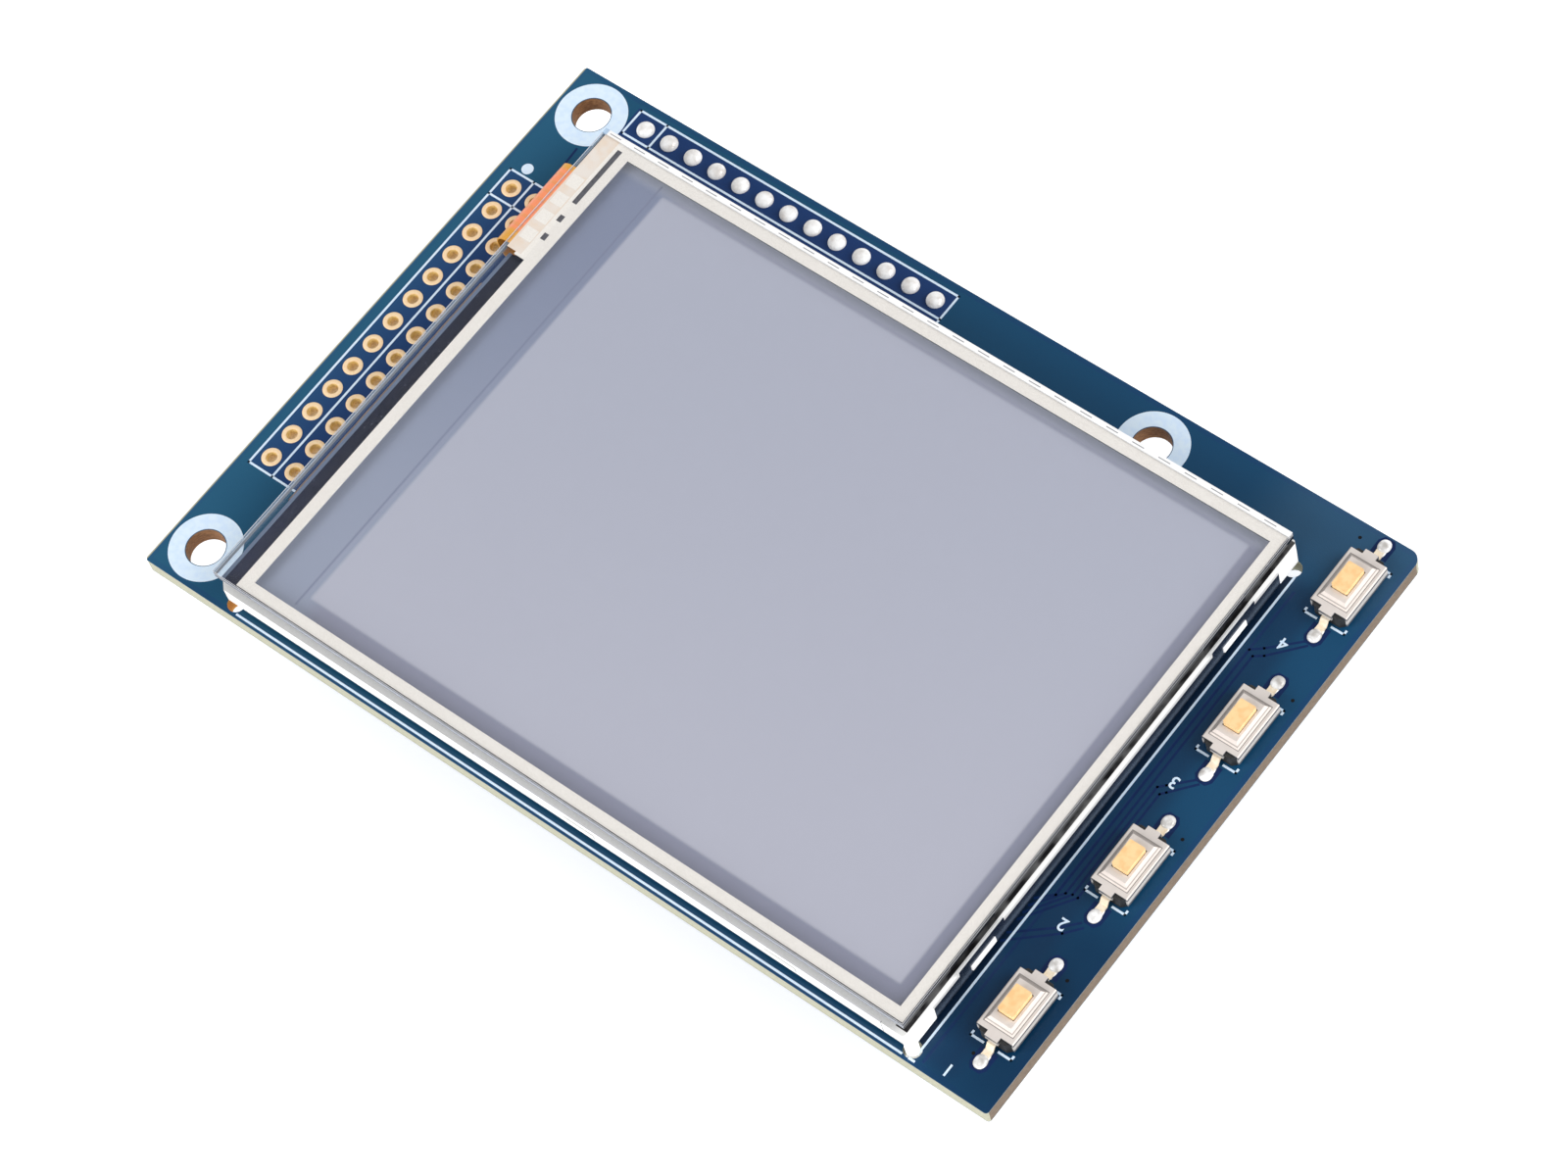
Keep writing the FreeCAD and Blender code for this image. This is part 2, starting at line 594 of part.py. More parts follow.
# Socket on the back, its contacts and their solder
def make_socket():
    body = new_body("socket_housing", x="socket_x", y="socket_y")
    run = "pin_pitch * (pin_columns - 1)"
    sketch = new_sketch(body, "socket_outline")
    rectangle(sketch, "-socket_end", "-socket_width / 2",
              f"{run} + socket_end", "socket_width / 2")
    pad(body, sketch, "socket_height - socket_foot")
    for name, x0, x1 in (("socket_foot_near", "-socket_end", "-cavity_length / 2 - fit_gap"),
                         ("socket_foot_far", f"{run} + cavity_length / 2 + fit_gap",
                          f"{run} + socket_end")):
        block(body, name, x0, "-socket_width / 2", "socket_height - socket_foot",
              x1, "socket_width / 2", "socket_foot")
    cavities = new_sketch(body, "socket_cavities", height="socket_floor")
    entries = new_sketch(body, "socket_entries")
    lead_ins = new_sketch(body, "socket_lead_ins")
    for row in ("-pin_pitch / 2", "pin_pitch / 2"):
        middle_rectangle(cavities, "cavity_length", "cavity_width", y=row)
        middle_rectangle(entries, "entry_side", "entry_side", y=row)
        wide = "entry_side + 2 * entry_chamfer"
        middle_rectangle(lead_ins, wide, wide, y=row)
    cavity = body.newObject("PartDesign::Pocket", "cavity_cut")
    cavity.Profile = cavities
    cavity.Reversed = True
    bind(cavity, "Length", "socket_height")
    body.Tip = cavity
    entry = body.newObject("PartDesign::Pocket", "entry_cut")
    entry.Profile = entries
    entry.Reversed = True
    bind(entry, "Length", "socket_floor")
    body.Tip = entry
    lead_in = body.newObject("PartDesign::Pocket", "lead_in_cut")
    lead_in.Profile = lead_ins
    lead_in.Reversed = True
    bind(lead_in, "Length", "entry_chamfer")
    lead_in.TaperAngle = -45
    body.Tip = lead_in
    pattern(body, [cavity, entry, lead_in], "X_Axis", "pin_pitch", "pin_columns",
            "socket_columns")


CONTACT_ROWS = (("outer", "", "tail_above"), ("inner", "-", "tail_trimmed"))
JOINT_ROWS = (("outer", "", "joint_height"), ("inner", "-", "joint_low"))


def make_contacts():
    """Forked spring contacts, each with a square tail that goes through the board."""
    body = new_body("socket_contacts", x="socket_x", y="socket_y")
    half = "tail_side / 2"
    outer = "(tine_gap / 2 + tine_thickness)"
    root = "(socket_height - socket_foot)"
    crotch = f"({root} - tine_thickness * 2)"
    low = f"({root} - tine_length)"
    forks = []
    for row, sign, above in CONTACT_ROWS:
        sketch = new_sketch(body, f"{row}_contact", plane="XZ_Plane",
                            height=f"0{sign or '+'}pin_pitch / 2 * -1")
        top = f"(board_top + {above})"
        outline(sketch, [
            (f"-{half}", top), (f"-{half}", root), (f"-{outer}", root), (f"-{outer}", low),
            ("-tine_gap / 2", low), ("-tine_gap / 2", crotch), ("tine_gap / 2", crotch),
            ("tine_gap / 2", low), (outer, low), (outer, root), (half, root), (half, top)])
        forks.append(pad(body, sketch, "tail_side", middle=True))
    pattern(body, forks, "X_Axis", "pin_pitch", "pin_columns", "contact_columns")


def make_solder_joints():
    """Cone-shaped solder joints, each round the tail that it holds."""
    body = new_body("solder_joints", x="socket_x", y="socket_y", z="board_top")
    tails = new_sketch(body, "joint_tails")
    for row, sign, height in JOINT_ROWS:
        centre = f"{sign}pin_pitch / 2"
        foot = new_sketch(body, f"{row}_joint_foot")
        polygon(foot, "0", centre, "joint_diameter", ROUND_SIDES)
        block_of_solder = pad(body, foot, height)
        slope_sides(body, block_of_solder, f"{row}_joint_cone", f"{height} - joint_foot",
                    "(joint_diameter - joint_tip) / 2")
        middle_rectangle(tails, "tail_side", "tail_side", y=f"{sign}pin_pitch / 2")
    hollow = body.newObject("PartDesign::Pocket", "tail_cut")
    hollow.Profile = tails
    hollow.Reversed = True
    bind(hollow, "Length", "joint_height")
    body.Tip = hollow
    pattern_all(body, "X_Axis", "pin_pitch", "pin_columns", "joint_columns")


# Display module, from the board upwards
def make_tape():
    strips = doc.addObject("Part::Compound", "mounting_tape")
    pieces = []
    for name, low in (("tape_low", "module_low + tape_inset"),
                      ("tape_high", "module_high - tape_inset - tape_width")):
        strip = doc.addObject("Part::Box", name)
        place_box(strip, "module_left + tape_inset_left", low, "board_top",
                  "module_right - tape_inset_right", f"{low} + tape_width",
                  "tape_thickness")
        pieces.append(strip)
    strips.Links = pieces
    return keep(strips, "mounting_tape")


def make_bezel():
    """Sheet-metal tray: floor, three walls, locking tongues and hook windows."""
    body = new_body("back_bezel")
    tall = "frame_top - bezel_z"
    block(body, "bezel_tray", "module_left + bezel_edge", "module_low", "bezel_z",
          "module_right", "module_high", tall)
    block(body, "bezel_inside", "module_left", "module_low + bezel_sheet", "floor_z",
          "module_right - bezel_sheet", "module_high - bezel_sheet", tall, cut=True)
    for name, y0, y1 in (("low", "module_low", "module_low + bezel_sheet"),
                         ("high", "module_high - bezel_sheet", "module_high")):
        block(body, f"bezel_open_{name}", "module_left", y0, "floor_z",
              "module_left + wall_start", y1, tall, cut=True)
    for name in ("low", "high"):
        y0 = "module_low" if name == "low" else "module_high - corner_y"
        y1 = "module_low + corner_y" if name == "low" else "module_high"
        block(body, f"bezel_corner_left_{name}", "module_left", y0, "bezel_z",
              "module_left + corner_x", y1, tall, cut=True)
        block(body, f"bezel_corner_right_{name}", "module_right - corner_x", y0, "bezel_z",
              "module_right", y1, tall, cut=True)
    for name, sign in (("low", "-"), ("high", "+")):
        middle = f"(display_y {sign} tongue_span / 2)"
        block(body, f"tongue_{name}", "module_right - bezel_sheet",
              f"{middle} - tongue_length / 2", "frame_top",
              "module_right", f"{middle} + tongue_length / 2", "tongue_rise")
        block(body, f"window_{name}", "module_right - 2 * bezel_sheet",
              f"{middle} - window_length / 2", "bezel_z + window_low",
              "module_right", f"{middle} + window_length / 2", "window_height", cut=True)
    for side in ("low", "high"):
        y0 = "module_low" if side == "low" else "module_high - bezel_sheet"
        for number, shift in (("one", "0"), ("two", "side_window_pitch")):
            middle = f"(module_left + side_window_first + {shift})"
            block(body, f"side_window_{side}_{number}", f"{middle} - window_length / 2", y0,
                  "bezel_z + window_low", f"{middle} + window_length / 2",
                  f"{y0} + bezel_sheet", "window_height", cut=True)


def make_frame():
    """Moulded white frame: corner blocks, glass seat, hooks and the recess for the flexes."""
    body = new_body("backlight_frame")
    sketch = new_sketch(body, "frame_outline", height="bezel_z")
    rectangle(sketch, "module_left", "module_low", "module_right", "module_high")
    shell = pad(body, sketch, "frame_top - bezel_z")
    corners = edges_where(shell, lambda mid, run: upright(run))
    cut_corners(body, shell, corners, "corner_chamfer", "frame_corners")
    sketch = new_sketch(body, "frame_peg", height="board_top - peg_depth")
    polygon(sketch, "locating_right", "locating_low", "peg_diameter", 2 * ROUND_SIDES)
    pad(body, sketch, "peg_depth + tape_thickness + peg_root")
    under = "floor_z - bezel_z"
    block(body, "frame_underside_middle", "module_left + bezel_edge - fit_gap",
          "module_low + corner_y - fit_gap", "bezel_z", "module_right",
          "module_high - corner_y + fit_gap", under, cut=True)
    block(body, "frame_underside_across", "module_left + corner_x - fit_gap", "module_low",
          "bezel_z", "module_right - corner_x + fit_gap", "module_high", under, cut=True)
    tall = "frame_top - bezel_z"
    block(body, "frame_side_recess", "module_right - bezel_sheet",
          "module_low + corner_y - fit_gap", "bezel_z", "module_right",
          "module_high - corner_y + fit_gap", tall, cut=True)
    for name, y0, y1 in (("low", "module_low", "module_low + bezel_sheet"),
                         ("high", "module_high - bezel_sheet", "module_high")):
        block(body, f"frame_recess_{name}", "module_left + wall_start - fit_gap", y0,
              "bezel_z", "module_right - corner_x + fit_gap", y1, tall, cut=True)
    block(body, "frame_flex_recess", "module_left", "display_y - flex_recess_length / 2",
          "bezel_z", "module_left + flex_recess", "display_y + flex_recess_length / 2", tall,
          cut=True)
    for name, sign in (("low", "-"), ("high", "+")):
        middle = f"(display_y {sign} tongue_span / 2)"
        block(body, f"hook_{name}", "module_right - 2 * bezel_sheet",
              f"{middle} - window_length / 2 + fit_gap", "bezel_z + window_low + fit_gap",
              "module_right + hook_proud", f"{middle} + window_length / 2 - fit_gap",
              "window_height - 2 * fit_gap")
    for side in ("low", "high"):
        y0 = "module_low - hook_proud" if side == "low" else "module_high - 2 * bezel_sheet"
        y1 = "module_low + 2 * bezel_sheet" if side == "low" else "module_high + hook_proud"
        for number, shift in (("one", "0"), ("two", "side_window_pitch")):
            middle = f"(module_left + side_window_first + {shift})"
            block(body, f"side_hook_{side}_{number}",
                  f"{middle} - window_length / 2 + fit_gap", y0,
                  "bezel_z + window_low + fit_gap",
                  f"{middle} + window_length / 2 - fit_gap", y1,
                  "window_height - 2 * fit_gap")
    block(body, "frame_glass_seat", "module_left + frame_wall_left",
          "module_low + frame_wall", "seat_z", "module_right - frame_wall", "module_high - frame_wall", "cell_glass",
          cut=True)
    block(body, "frame_light_opening", "light_left", "light_low", "bezel_z",
          "light_right", "light_high", "frame_top - bezel_z", cut=True)


def make_backlight():
    play = "film_play"
    plate("reflector_sheet", f"light_left + {play}", f"light_low + {play}", "floor_z",
          f"light_right - {play}", f"light_high - {play}", "reflector_thickness")
    plate("light_guide", "guide_left", f"light_low + {play}", "guide_z",
          f"light_right - {play}", f"light_high - {play}", "guide_thickness")
    for index, node in enumerate(("diffuser_film", "lower_prism_film", "upper_prism_film")):
        plate(node, "guide_left", f"light_low + {play}",
              f"diffuser_z + {index} * film_thickness",
              f"light_right - {play}", f"light_high - {play}", "film_thickness")
    lamps = new_body("backlight_lamps", x=f"light_left + {play}", y="display_y",
                     z="guide_z")
    first = "-lamp_pitch * (lamp_count - 1) / 2"
    lamp = block(lamps, "lamp", "0", f"{first} - lamp_length / 2", "0",
                 "lamp_depth", f"{first} + lamp_length / 2", "lamp_height")
    pattern(lamps, [lamp], "Y_Axis", "lamp_pitch", "lamp_count", "lamp_row")
    plate("lamp_flex", f"light_left + {play}", f"light_low + {play}", "guide_z + lamp_height",
          f"light_left + {play} + lamp_depth", f"light_high - {play}", "film_thickness")


def make_cell():
    play = "film_play"
    plate("rear_polariser", "light_left + seat_gap", "light_low + seat_gap",
          "rear_polariser_z", "light_right - seat_gap", "light_high - seat_gap",
          "polariser_thickness")
    plate("display_lower_glass", "cell_left", "cell_low", "seat_z", "cell_right",
          "cell_high", "cell_glass")
    plate("display_upper_glass", "upper_left", "cell_low", "upper_glass_z", "cell_right",
          "cell_high", "cell_glass")
    edge = "polariser_margin"
    plate("front_polariser", f"upper_left + {edge}", f"cell_low + {edge}",
          "upper_glass_top", f"cell_right - {edge}", f"cell_high - {edge}",
          "polariser_thickness")
    plate("driver_chip", "cell_left + chip_inset", "display_y - chip_length / 2",
          "upper_glass_z", "cell_left + chip_inset + chip_depth",
          "display_y + chip_length / 2", "chip_height")
    plate("ledge_tape", "cell_left + fit_gap", "cell_low + polariser_margin",
          "upper_glass_z + chip_height", "upper_left - fit_gap", "ledge_tape_top",
          "ledge_tape_thickness")


def make_flex(node, middle_y, width, thickness, start_x, turn_x, low_z, high_z, end_x):
    """A flex that leaves level, turns down round one side and comes back underneath."""
    body = new_body(node, y=middle_y)
    sketch = new_sketch(body, node + "_path", plane="XZ_Plane")
    outer_high = f"{high_z} + {thickness}"
    outline(sketch, [
        (start_x, high_z), (start_x, outer_high), (turn_x, outer_high), (turn_x, low_z),
        (end_x, low_z), (end_x, f"{low_z} + {thickness}"),
        (f"{turn_x} + {thickness}", f"{low_z} + {thickness}"),
        (f"{turn_x} + {thickness}", high_z)])
    strip = pad(body, sketch, width, middle=True)
    return body, strip


def bend_flex(body, strip, node, thickness, bend):
    """Round the two turns of a flex, inside and outside, about the same centres."""
    doc.recompute()
    box = strip.Shape.BoundBox
    thick = sheet.get(thickness)

    def along_y(run):
        return abs(run.x) < 1e-6 and abs(run.z) < 1e-6

    def outside(mid, run):
        return along_y(run) and abs(mid.x - box.XMin) < 1e-6

    def inside(mid, run):
        at_turn = abs(mid.x - box.XMin - thick) < 1e-6
        level = abs(mid.z - box.ZMin - thick) < 1e-6 or abs(mid.z - box.ZMax + thick) < 1e-6
        return along_y(run) and at_turn and level

    outer = round_edges(body, strip, edges_where(strip, outside),
                        f"{bend} + {thickness}", node + "_outer_bend")
    round_edges(body, outer, edges_where(outer, inside), bend, node + "_inner_bend")


def make_flexes():
    body, strip = make_flex(
        "display_flex", "display_flex_y", "display_flex_width", "display_flex_thickness",
        "cell_left + display_flex_seat", "module_left - display_flex_bulge",
        "board_top + display_flex_low", "upper_glass_z",
        "module_left + display_flex_return")
    bend_flex(body, strip, "display_flex", "display_flex_thickness",
              "display_flex_bend")
    body, strip = make_flex(
        "touch_flex", "touch_flex_y", "touch_flex_width", "touch_flex_thickness",
        "touch_left + touch_flex_seat", "touch_left - touch_flex_bulge",
        "board_top + touch_flex_low", "border_z", "touch_left + touch_flex_return")
    bend_flex(body, strip, "touch_flex", "touch_flex_thickness",
              "touch_flex_bulge - touch_flex_thickness")


def make_touch_panel():
    glue = new_body("touch_adhesive", z="upper_glass_top")
    sketch = new_sketch(glue, "glue_ring")
    outer_left = "touch_left + glue_margin_left"
    outline(sketch, [
        (outer_left, "touch_low + glue_margin"),
        ("touch_right - glue_margin", "touch_low + glue_margin"),
        ("touch_right - glue_margin", "cell_high"), ("upper_left", "cell_high"),
        ("upper_left", "ledge_tape_top"), (outer_left, "ledge_tape_top")])
    inner = "glue_width"
    rectangle(sketch, f"upper_left + {inner}", f"cell_low + {inner}",
              f"cell_right - {inner}", f"cell_high - {inner}")
    pad(glue, sketch, "touch_z - upper_glass_top")
    plate("touch_glass", "touch_left", "touch_low", "touch_z", "touch_right",
          "touch_high", "touch_glass_thickness")
    make_border()
    plate("touch_film", "touch_left", "touch_low", "film_z", "touch_right", "touch_high",
          "touch_film_thickness")


def make_border():
    """Cream layer round the window, widened at the upper left, with three dark slots."""
    body = new_body("touch_border", z="border_z")
    sketch = new_sketch(body, "border_outline")
    strip_left = "touch_left + border_left - border_strip"
    block_left = f"{strip_left} - tail_block_width"
    high = "touch_high - border_margin_high"
    low = "touch_low + border_margin"
    right = "touch_right - border_margin"
    block_low = f"{high} - tail_block_length"
    outline(sketch, [(strip_left, low), (right, low), (right, high), (block_left, high),
                     (block_left, block_low), (strip_left, block_low)])
    rectangle(sketch, "touch_left + border_left", "touch_low + border_bottom",
              "touch_right - border_right", "touch_high - border_top")
    starts = ["0", "slot_length + slot_pitch", "slot_length + slot_short + 2 * slot_pitch"]
    for start, length in zip(starts, ("slot_length", "slot_short", "slot_short")):
        top = f"{high} - slot_first - ({start})"
        rectangle(sketch, f"{strip_left} - slot_width / 2", f"{top} - {length}",
                  f"{strip_left} + slot_width / 2", top)
    pad(body, sketch, "border_thickness")


# Four tactile keys
def key_place(index):
    return f"key_first_y + {index} * key_pitch"


def make_key(number):
    index = number - 1
    name = f"key_{number}"
    y = key_place(index)
    make_key_base(name, y)
    make_key_disc(name, y)
    make_key_cover(name, y)
    make_key_plunger(name, y)
    make_key_leads(name, y)


def make_key_base(name, y):
    body = new_body(f"{name}_base", x="key_x", y=y, z="board_top")
    sketch = new_sketch(body, f"{name}_base_outline")
    middle_rectangle(sketch, "key_body_width", "key_body_length")
    solid = pad(body, sketch, "key_body_height")
    corners = edges_where(solid, lambda mid, run: upright(run))
    cut_corners(body, solid, corners, "key_body_chamfer", f"{name}_base_corners")
    block(body, f"{name}_well", "-key_well_width / 2", "-key_well_length / 2",
          "key_well_floor", "key_well_width / 2", "key_well_length / 2",
          "key_body_height", cut=True)
    for side, y0, y1 in (("low", "-key_body_length / 2", "lead_root - key_body_length / 2"),
                         ("high", "key_body_length / 2 - lead_root", "key_body_length / 2")):
        block(body, f"{name}_slot_{side}", "-lead_width / 2", y0, "lead_exit",
              "lead_width / 2", y1, "lead_sheet", cut=True)


def make_key_disc(name, y):
    """Snap disc: a thin cone that stands on its rim, with a flat crown under the stem."""
    body = new_body(f"{name}_disc", x="key_x", y=y, z="board_top + key_well_floor")
    sketch = new_sketch(body, f"{name}_disc_outline")
    polygon(sketch, "0", "0", "disc_diameter", ROUND_SIDES)
    solid = pad(body, sketch, "disc_rise")
    slope_sides(body, solid, f"{name}_disc_cone", "disc_rise - disc_sheet / 2",
                "(disc_diameter - disc_crown) / 2")
    rim = new_sketch(body, f"{name}_disc_rim")
    polygon(rim, "0", "0", "disc_diameter - 2 * disc_sheet", ROUND_SIDES)
    crown = new_sketch(body, f"{name}_disc_crown", height="disc_rise - disc_sheet")
    polygon(crown, "0", "0", "disc_crown - disc_sheet / 2", ROUND_SIDES)
    hollow = body.newObject("PartDesign::SubtractiveLoft", f"{name}_disc_hollow")
    hollow.Profile = rim
    hollow.Sections = [crown]
    hollow.Ruled = True
    body.Tip = hollow


def make_key_cover(name, y):
    """Folded steel cover: flat top, two sides, a raised collar and a tongue at each end."""
    body = new_body(f"{name}_cover", x="key_x", y=y, z="board_top")
    tall = "key_cover_top - key_cover_low"
    solid = block(body, f"{name}_cover_block", "-key_cover_width / 2",
                  "-key_cover_length / 2", "key_cover_low", "key_cover_width / 2",
                  "key_cover_length / 2", tall)
    doc.recompute()
    top = solid.Shape.BoundBox.ZMax

    def long_top(mid, run):
        return abs(mid.z - top) < 1e-6 and abs(run.x) < 1e-6

    round_edges(body, solid, edges_where(solid, long_top), "key_cover_bend",
                f"{name}_cover_bends")
    sketch = new_sketch(body, f"{name}_collar_outline", height="key_cover_top")
    middle_rectangle(sketch, "key_collar_width", "key_collar_length")
    collar = pad(body, sketch, "key_collar_height")
    bind(collar, "TaperAngle", "-key_collar_slope")
    inner = "key_cover_sheet"
    block(body, f"{name}_cover_inside", f"{inner} - key_cover_width / 2",
          "-key_cover_length / 2", "key_cover_low", f"key_cover_width / 2 - {inner}",
          "key_cover_length / 2", f"{tall} - {inner}", cut=True)
    sketch = new_sketch(body, f"{name}_collar_hollow",
                        height="key_cover_top - key_cover_sheet")
    middle_rectangle(sketch, "key_collar_width - key_collar_inner",
                     "key_collar_length - key_collar_inner")
    hollow = body.newObject("PartDesign::Pocket", f"{name}_collar_cut")
    hollow.Profile = sketch
    hollow.Reversed = True
    bind(hollow, "Length", "key_collar_height")
    bind(hollow, "TaperAngle", "-key_collar_slope")
    body.Tip = hollow
    block(body, f"{name}_opening", "-opening_width / 2", "-opening_length / 2",
          "key_cover_top", "opening_width / 2", "opening_length / 2",
          "key_collar_height", cut=True)
    reach = "key_body_length / 2 + key_cover_play"
    for side, sign in (("low", "-"), ("high", "")):
        near = f"{sign}(key_cover_length / 2)"
        far = f"{sign}({reach} + key_cover_sheet)"
        skin = f"{sign}({reach})"
        y0, y1 = (far, near) if sign else (near, far)
        block(body, f"{name}_tongue_{side}", "-key_tongue_width / 2", y0,
              "key_cover_top - key_cover_sheet", "key_tongue_width / 2", y1,
              "key_cover_sheet")
        y0, y1 = (far, skin) if sign else (skin, far)
        block(body, f"{name}_fold_{side}", "-key_tongue_width / 2", y0,
              "key_cover_top - key_tongue_drop", "key_tongue_width / 2", y1,
              "key_tongue_drop")


def make_key_plunger(name, y):
    body = new_body(f"{name}_plunger", x="key_x", y=y, z="board_top")
    head = new_sketch(body, f"{name}_head_outline", height="plunger_shoulder")
    middle_rectangle(head, "plunger_width", "plunger_length")
    solid = pad(body, head, "plunger_top - plunger_shoulder")
    corners = edges_where(solid, lambda mid, run: upright(run))
    round_edges(body, solid, corners, "plunger_round", f"{name}_head_corners")
    half_width = "(opening_width / 2 + plunger_flange)"
    half_length = "(opening_length / 2 + plunger_flange)"
    block(body, f"{name}_flange", f"-{half_width}", f"-{half_length}",
          "plunger_shoulder - plunger_flange_height", half_width, half_length,
          "plunger_flange_height")
    tip = "key_well_floor + disc_rise + disc_gap"
    block(body, f"{name}_stem", "-plunger_stem_width / 2", "-plunger_stem_length / 2", tip,
          "plunger_stem_width / 2", "plunger_stem_length / 2",
          f"plunger_shoulder - plunger_flange_height - ({tip})")


def make_key_leads(name, y):
    body = new_body(f"{name}_leads", x="key_x", y=y, z="board_top")
    sketch = new_sketch(body, f"{name}_lead_profile", plane="YZ_Plane")
    root = "key_body_length / 2 - lead_root"
    bend = "key_body_length / 2 + lead_shoulder"
    knee = f"{bend} + lead_slope"
    high = "lead_exit"
    low = "lead_solder"
    outline(sketch, [
        (root, high), (bend, high), (knee, low), ("lead_end", low),
        ("lead_end", f"{low} + lead_sheet"),
        (f"{knee} + lead_bend_shift", f"{low} + lead_sheet"),
        (f"{bend} + lead_bend_shift", f"{high} + lead_sheet"),
        (root, f"{high} + lead_sheet")])
    lead = pad(body, sketch, "lead_width", middle=True)
    mirror(body, [lead], "XZ_Plane", f"{name}_lead_pair")


def make_key_solder():
    """Solder on the eight key terminals, each with a channel for the foot it holds."""
    body = new_body("key_solder", x="key_x", y=key_place(0), z="board_top")
    sketch = new_sketch(body, "solder_outline")
    end = "lead_end + fillet_past"
    middle_rectangle(sketch, "fillet_width", "fillet_length",
                     y=f"({end} - fillet_length / 2)")
    mound = pad(body, sketch, "fillet_height")
    bind(mound, "TaperAngle", "-fillet_slope")
    sketch = new_sketch(body, "solder_channel", height="lead_solder")
    rectangle(sketch, "-lead_width / 2", "lead_end - lead_foot - lead_slope",
              "lead_width / 2", "lead_end")
    channel = body.newObject("PartDesign::Pocket", "solder_channel_cut")
    channel.Profile = sketch
    channel.Reversed = True
    bind(channel, "Length", "fillet_height")
    body.Tip = channel
    mirror(body, [], "XZ_Plane", "solder_pair")
    pattern_all(body, "Y_Axis", "key_pitch", "key_count", "solder_keys")


# Parts on the back of the board, all hanging from its lower face
def make_leg(body, name, half_width, height, leg_width, sign="", along="0"):
    """One gull-wing leg, bent from the middle of a chip's side down to the board."""
    sketch = new_sketch(body, name, plane="YZ_Plane", height=along)
    mid = f"-{height} / 2"
    knee = f"({half_width} + leg_reach - leg_foot)"
    end = f"({half_width} + leg_reach)"
    near = f"({half_width} + leg_sheet)"
    profile = [
        (half_width, f"{mid} - leg_sheet"), (f"({near} + leg_sheet)", f"{mid} - leg_sheet"),
        (f"({knee} + leg_sheet)", "-leg_sheet"), (end, "-leg_sheet"), (end, "0"),
        (knee, "0"), (near, mid), (half_width, mid)]
    outline(sketch, [(f"{sign}{y}", z) for y, z in profile])
    return pad(body, sketch, leg_width, middle=True)


def make_chip(node, x, y, size, leg_width, pitch, count, tab=None, repeats=None, step=None):
    """Chip bodies under the board and, as a second node, their legs.

    The legs stand on both long sides, or on one side with a single tab opposite.
    """
    length, width, height = size
    body = new_body(node, x=x, y=y, z="socket_height")
    case = block(body, f"{node}_case", f"-{length} / 2", f"-{width} / 2",
                 f"-chip_standoff - {height}", f"{length} / 2", f"{width} / 2", height)
    middle = f"{pitch} * ({count} - 1) / 2"
    legs = new_body(f"{node}_legs", x=f"{x} - {middle}", y=y, z="socket_height")
    make_leg(legs, f"{node}_leg", f"({width} / 2)", height, leg_width)
    pattern_all(legs, "X_Axis", pitch, count, f"{node}_leg_row")
    if tab is None:
        mirror(legs, [], "XZ_Plane", f"{node}_leg_sides")
    else:
        make_leg(legs, f"{node}_tab", f"({width} / 2)", height, tab, "-", middle)
    if repeats is not None:
        pattern(body, [case], "X_Axis", step, repeats, f"{node}_row")
        pattern_all(legs, "X_Axis", step, repeats, f"{node}_leg_groups")


def make_small_parts(node, x, y, height, pitch, count):
    """A row of chip capacitors or resistors, standing on the lower face."""
    body = new_body(node, x=x, y=y, z="socket_height")
    one = block(body, f"{node}_one", "-chip_part_width / 2", "-chip_part_length / 2",
                f"-{height}", "chip_part_width / 2", "chip_part_length / 2", height)
    pattern(body, [one], "X_Axis", pitch, count, f"{node}_row")


def make_back_parts():
    make_chip("logic_chips", "logic_first_x", "logic_y",
              ("logic_length", "logic_width", "logic_height"), "logic_leg_width",
              "logic_leg_pitch", "logic_legs", repeats="logic_count", step="logic_pitch")
    make_chip("touch_controller", "touch_chip_x", "touch_chip_y",
              ("touch_chip_length", "touch_chip_width", "touch_chip_height"),
              "touch_leg_width", "touch_leg_pitch", "touch_legs")
    make_chip("regulator", "regulator_x", "regulator_y",
              ("regulator_length", "regulator_width", "regulator_height"), "lead_width",
              "regulator_leg_pitch", "regulator_legs", tab="regulator_tab")
    make_chip("transistor", "transistor_x", "transistor_y",
              ("transistor_length", "transistor_width", "transistor_height"),
              "logic_leg_width", "transistor_leg_pitch", "transistor_legs", tab="logic_leg_width")
    make_small_parts("chip_capacitors", "capacitor_x", "capacitor_y", "capacitor_height",
                     "capacitor_pitch", "capacitor_count")
    make_small_parts("chip_resistors", "resistor_x", "resistor_y", "resistor_height",
                     "resistor_pitch", "resistor_count")


make_board()
make_breakout_rims()
make_socket()
make_contacts()
make_solder_joints()
make_tape()
make_bezel()
make_frame()
make_backlight()
make_cell()
make_flexes()
make_touch_panel()
for key_number in (1, 2, 3, 4):
    make_key(key_number)
make_key_solder()
make_back_parts()

doc.recompute()
for item in doc.Objects:
    faults = [word for word in item.State if word in ("Invalid", "Error")]
    if faults:
        raise RuntimeError(f"{item.Name} failed: {item.State}")
os.makedirs("parts", exist_ok=True)
for item in SUB_PARTS:
    if item.Shape.isNull() or not item.Shape.isValid():
        raise RuntimeError(f"{item.Label} has no valid shape")
    item.Shape.exportStep(f"parts/{item.Label}.step")
    print(item.Label, len(item.Shape.Solids), round(item.Shape.Volume, 4))
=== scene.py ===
# %% [markdown]
# # A touch display module, dressed for a studio picture
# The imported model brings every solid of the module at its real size. This lesson adds what
# makes it look like the real thing: the printed lines on the blue board, bright solder, gold
# rims, brushed key covers and the see-through touch panel over a grey display. Each step says
# what the real piece is and why it is made the way it is.

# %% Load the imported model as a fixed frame
import json
import math

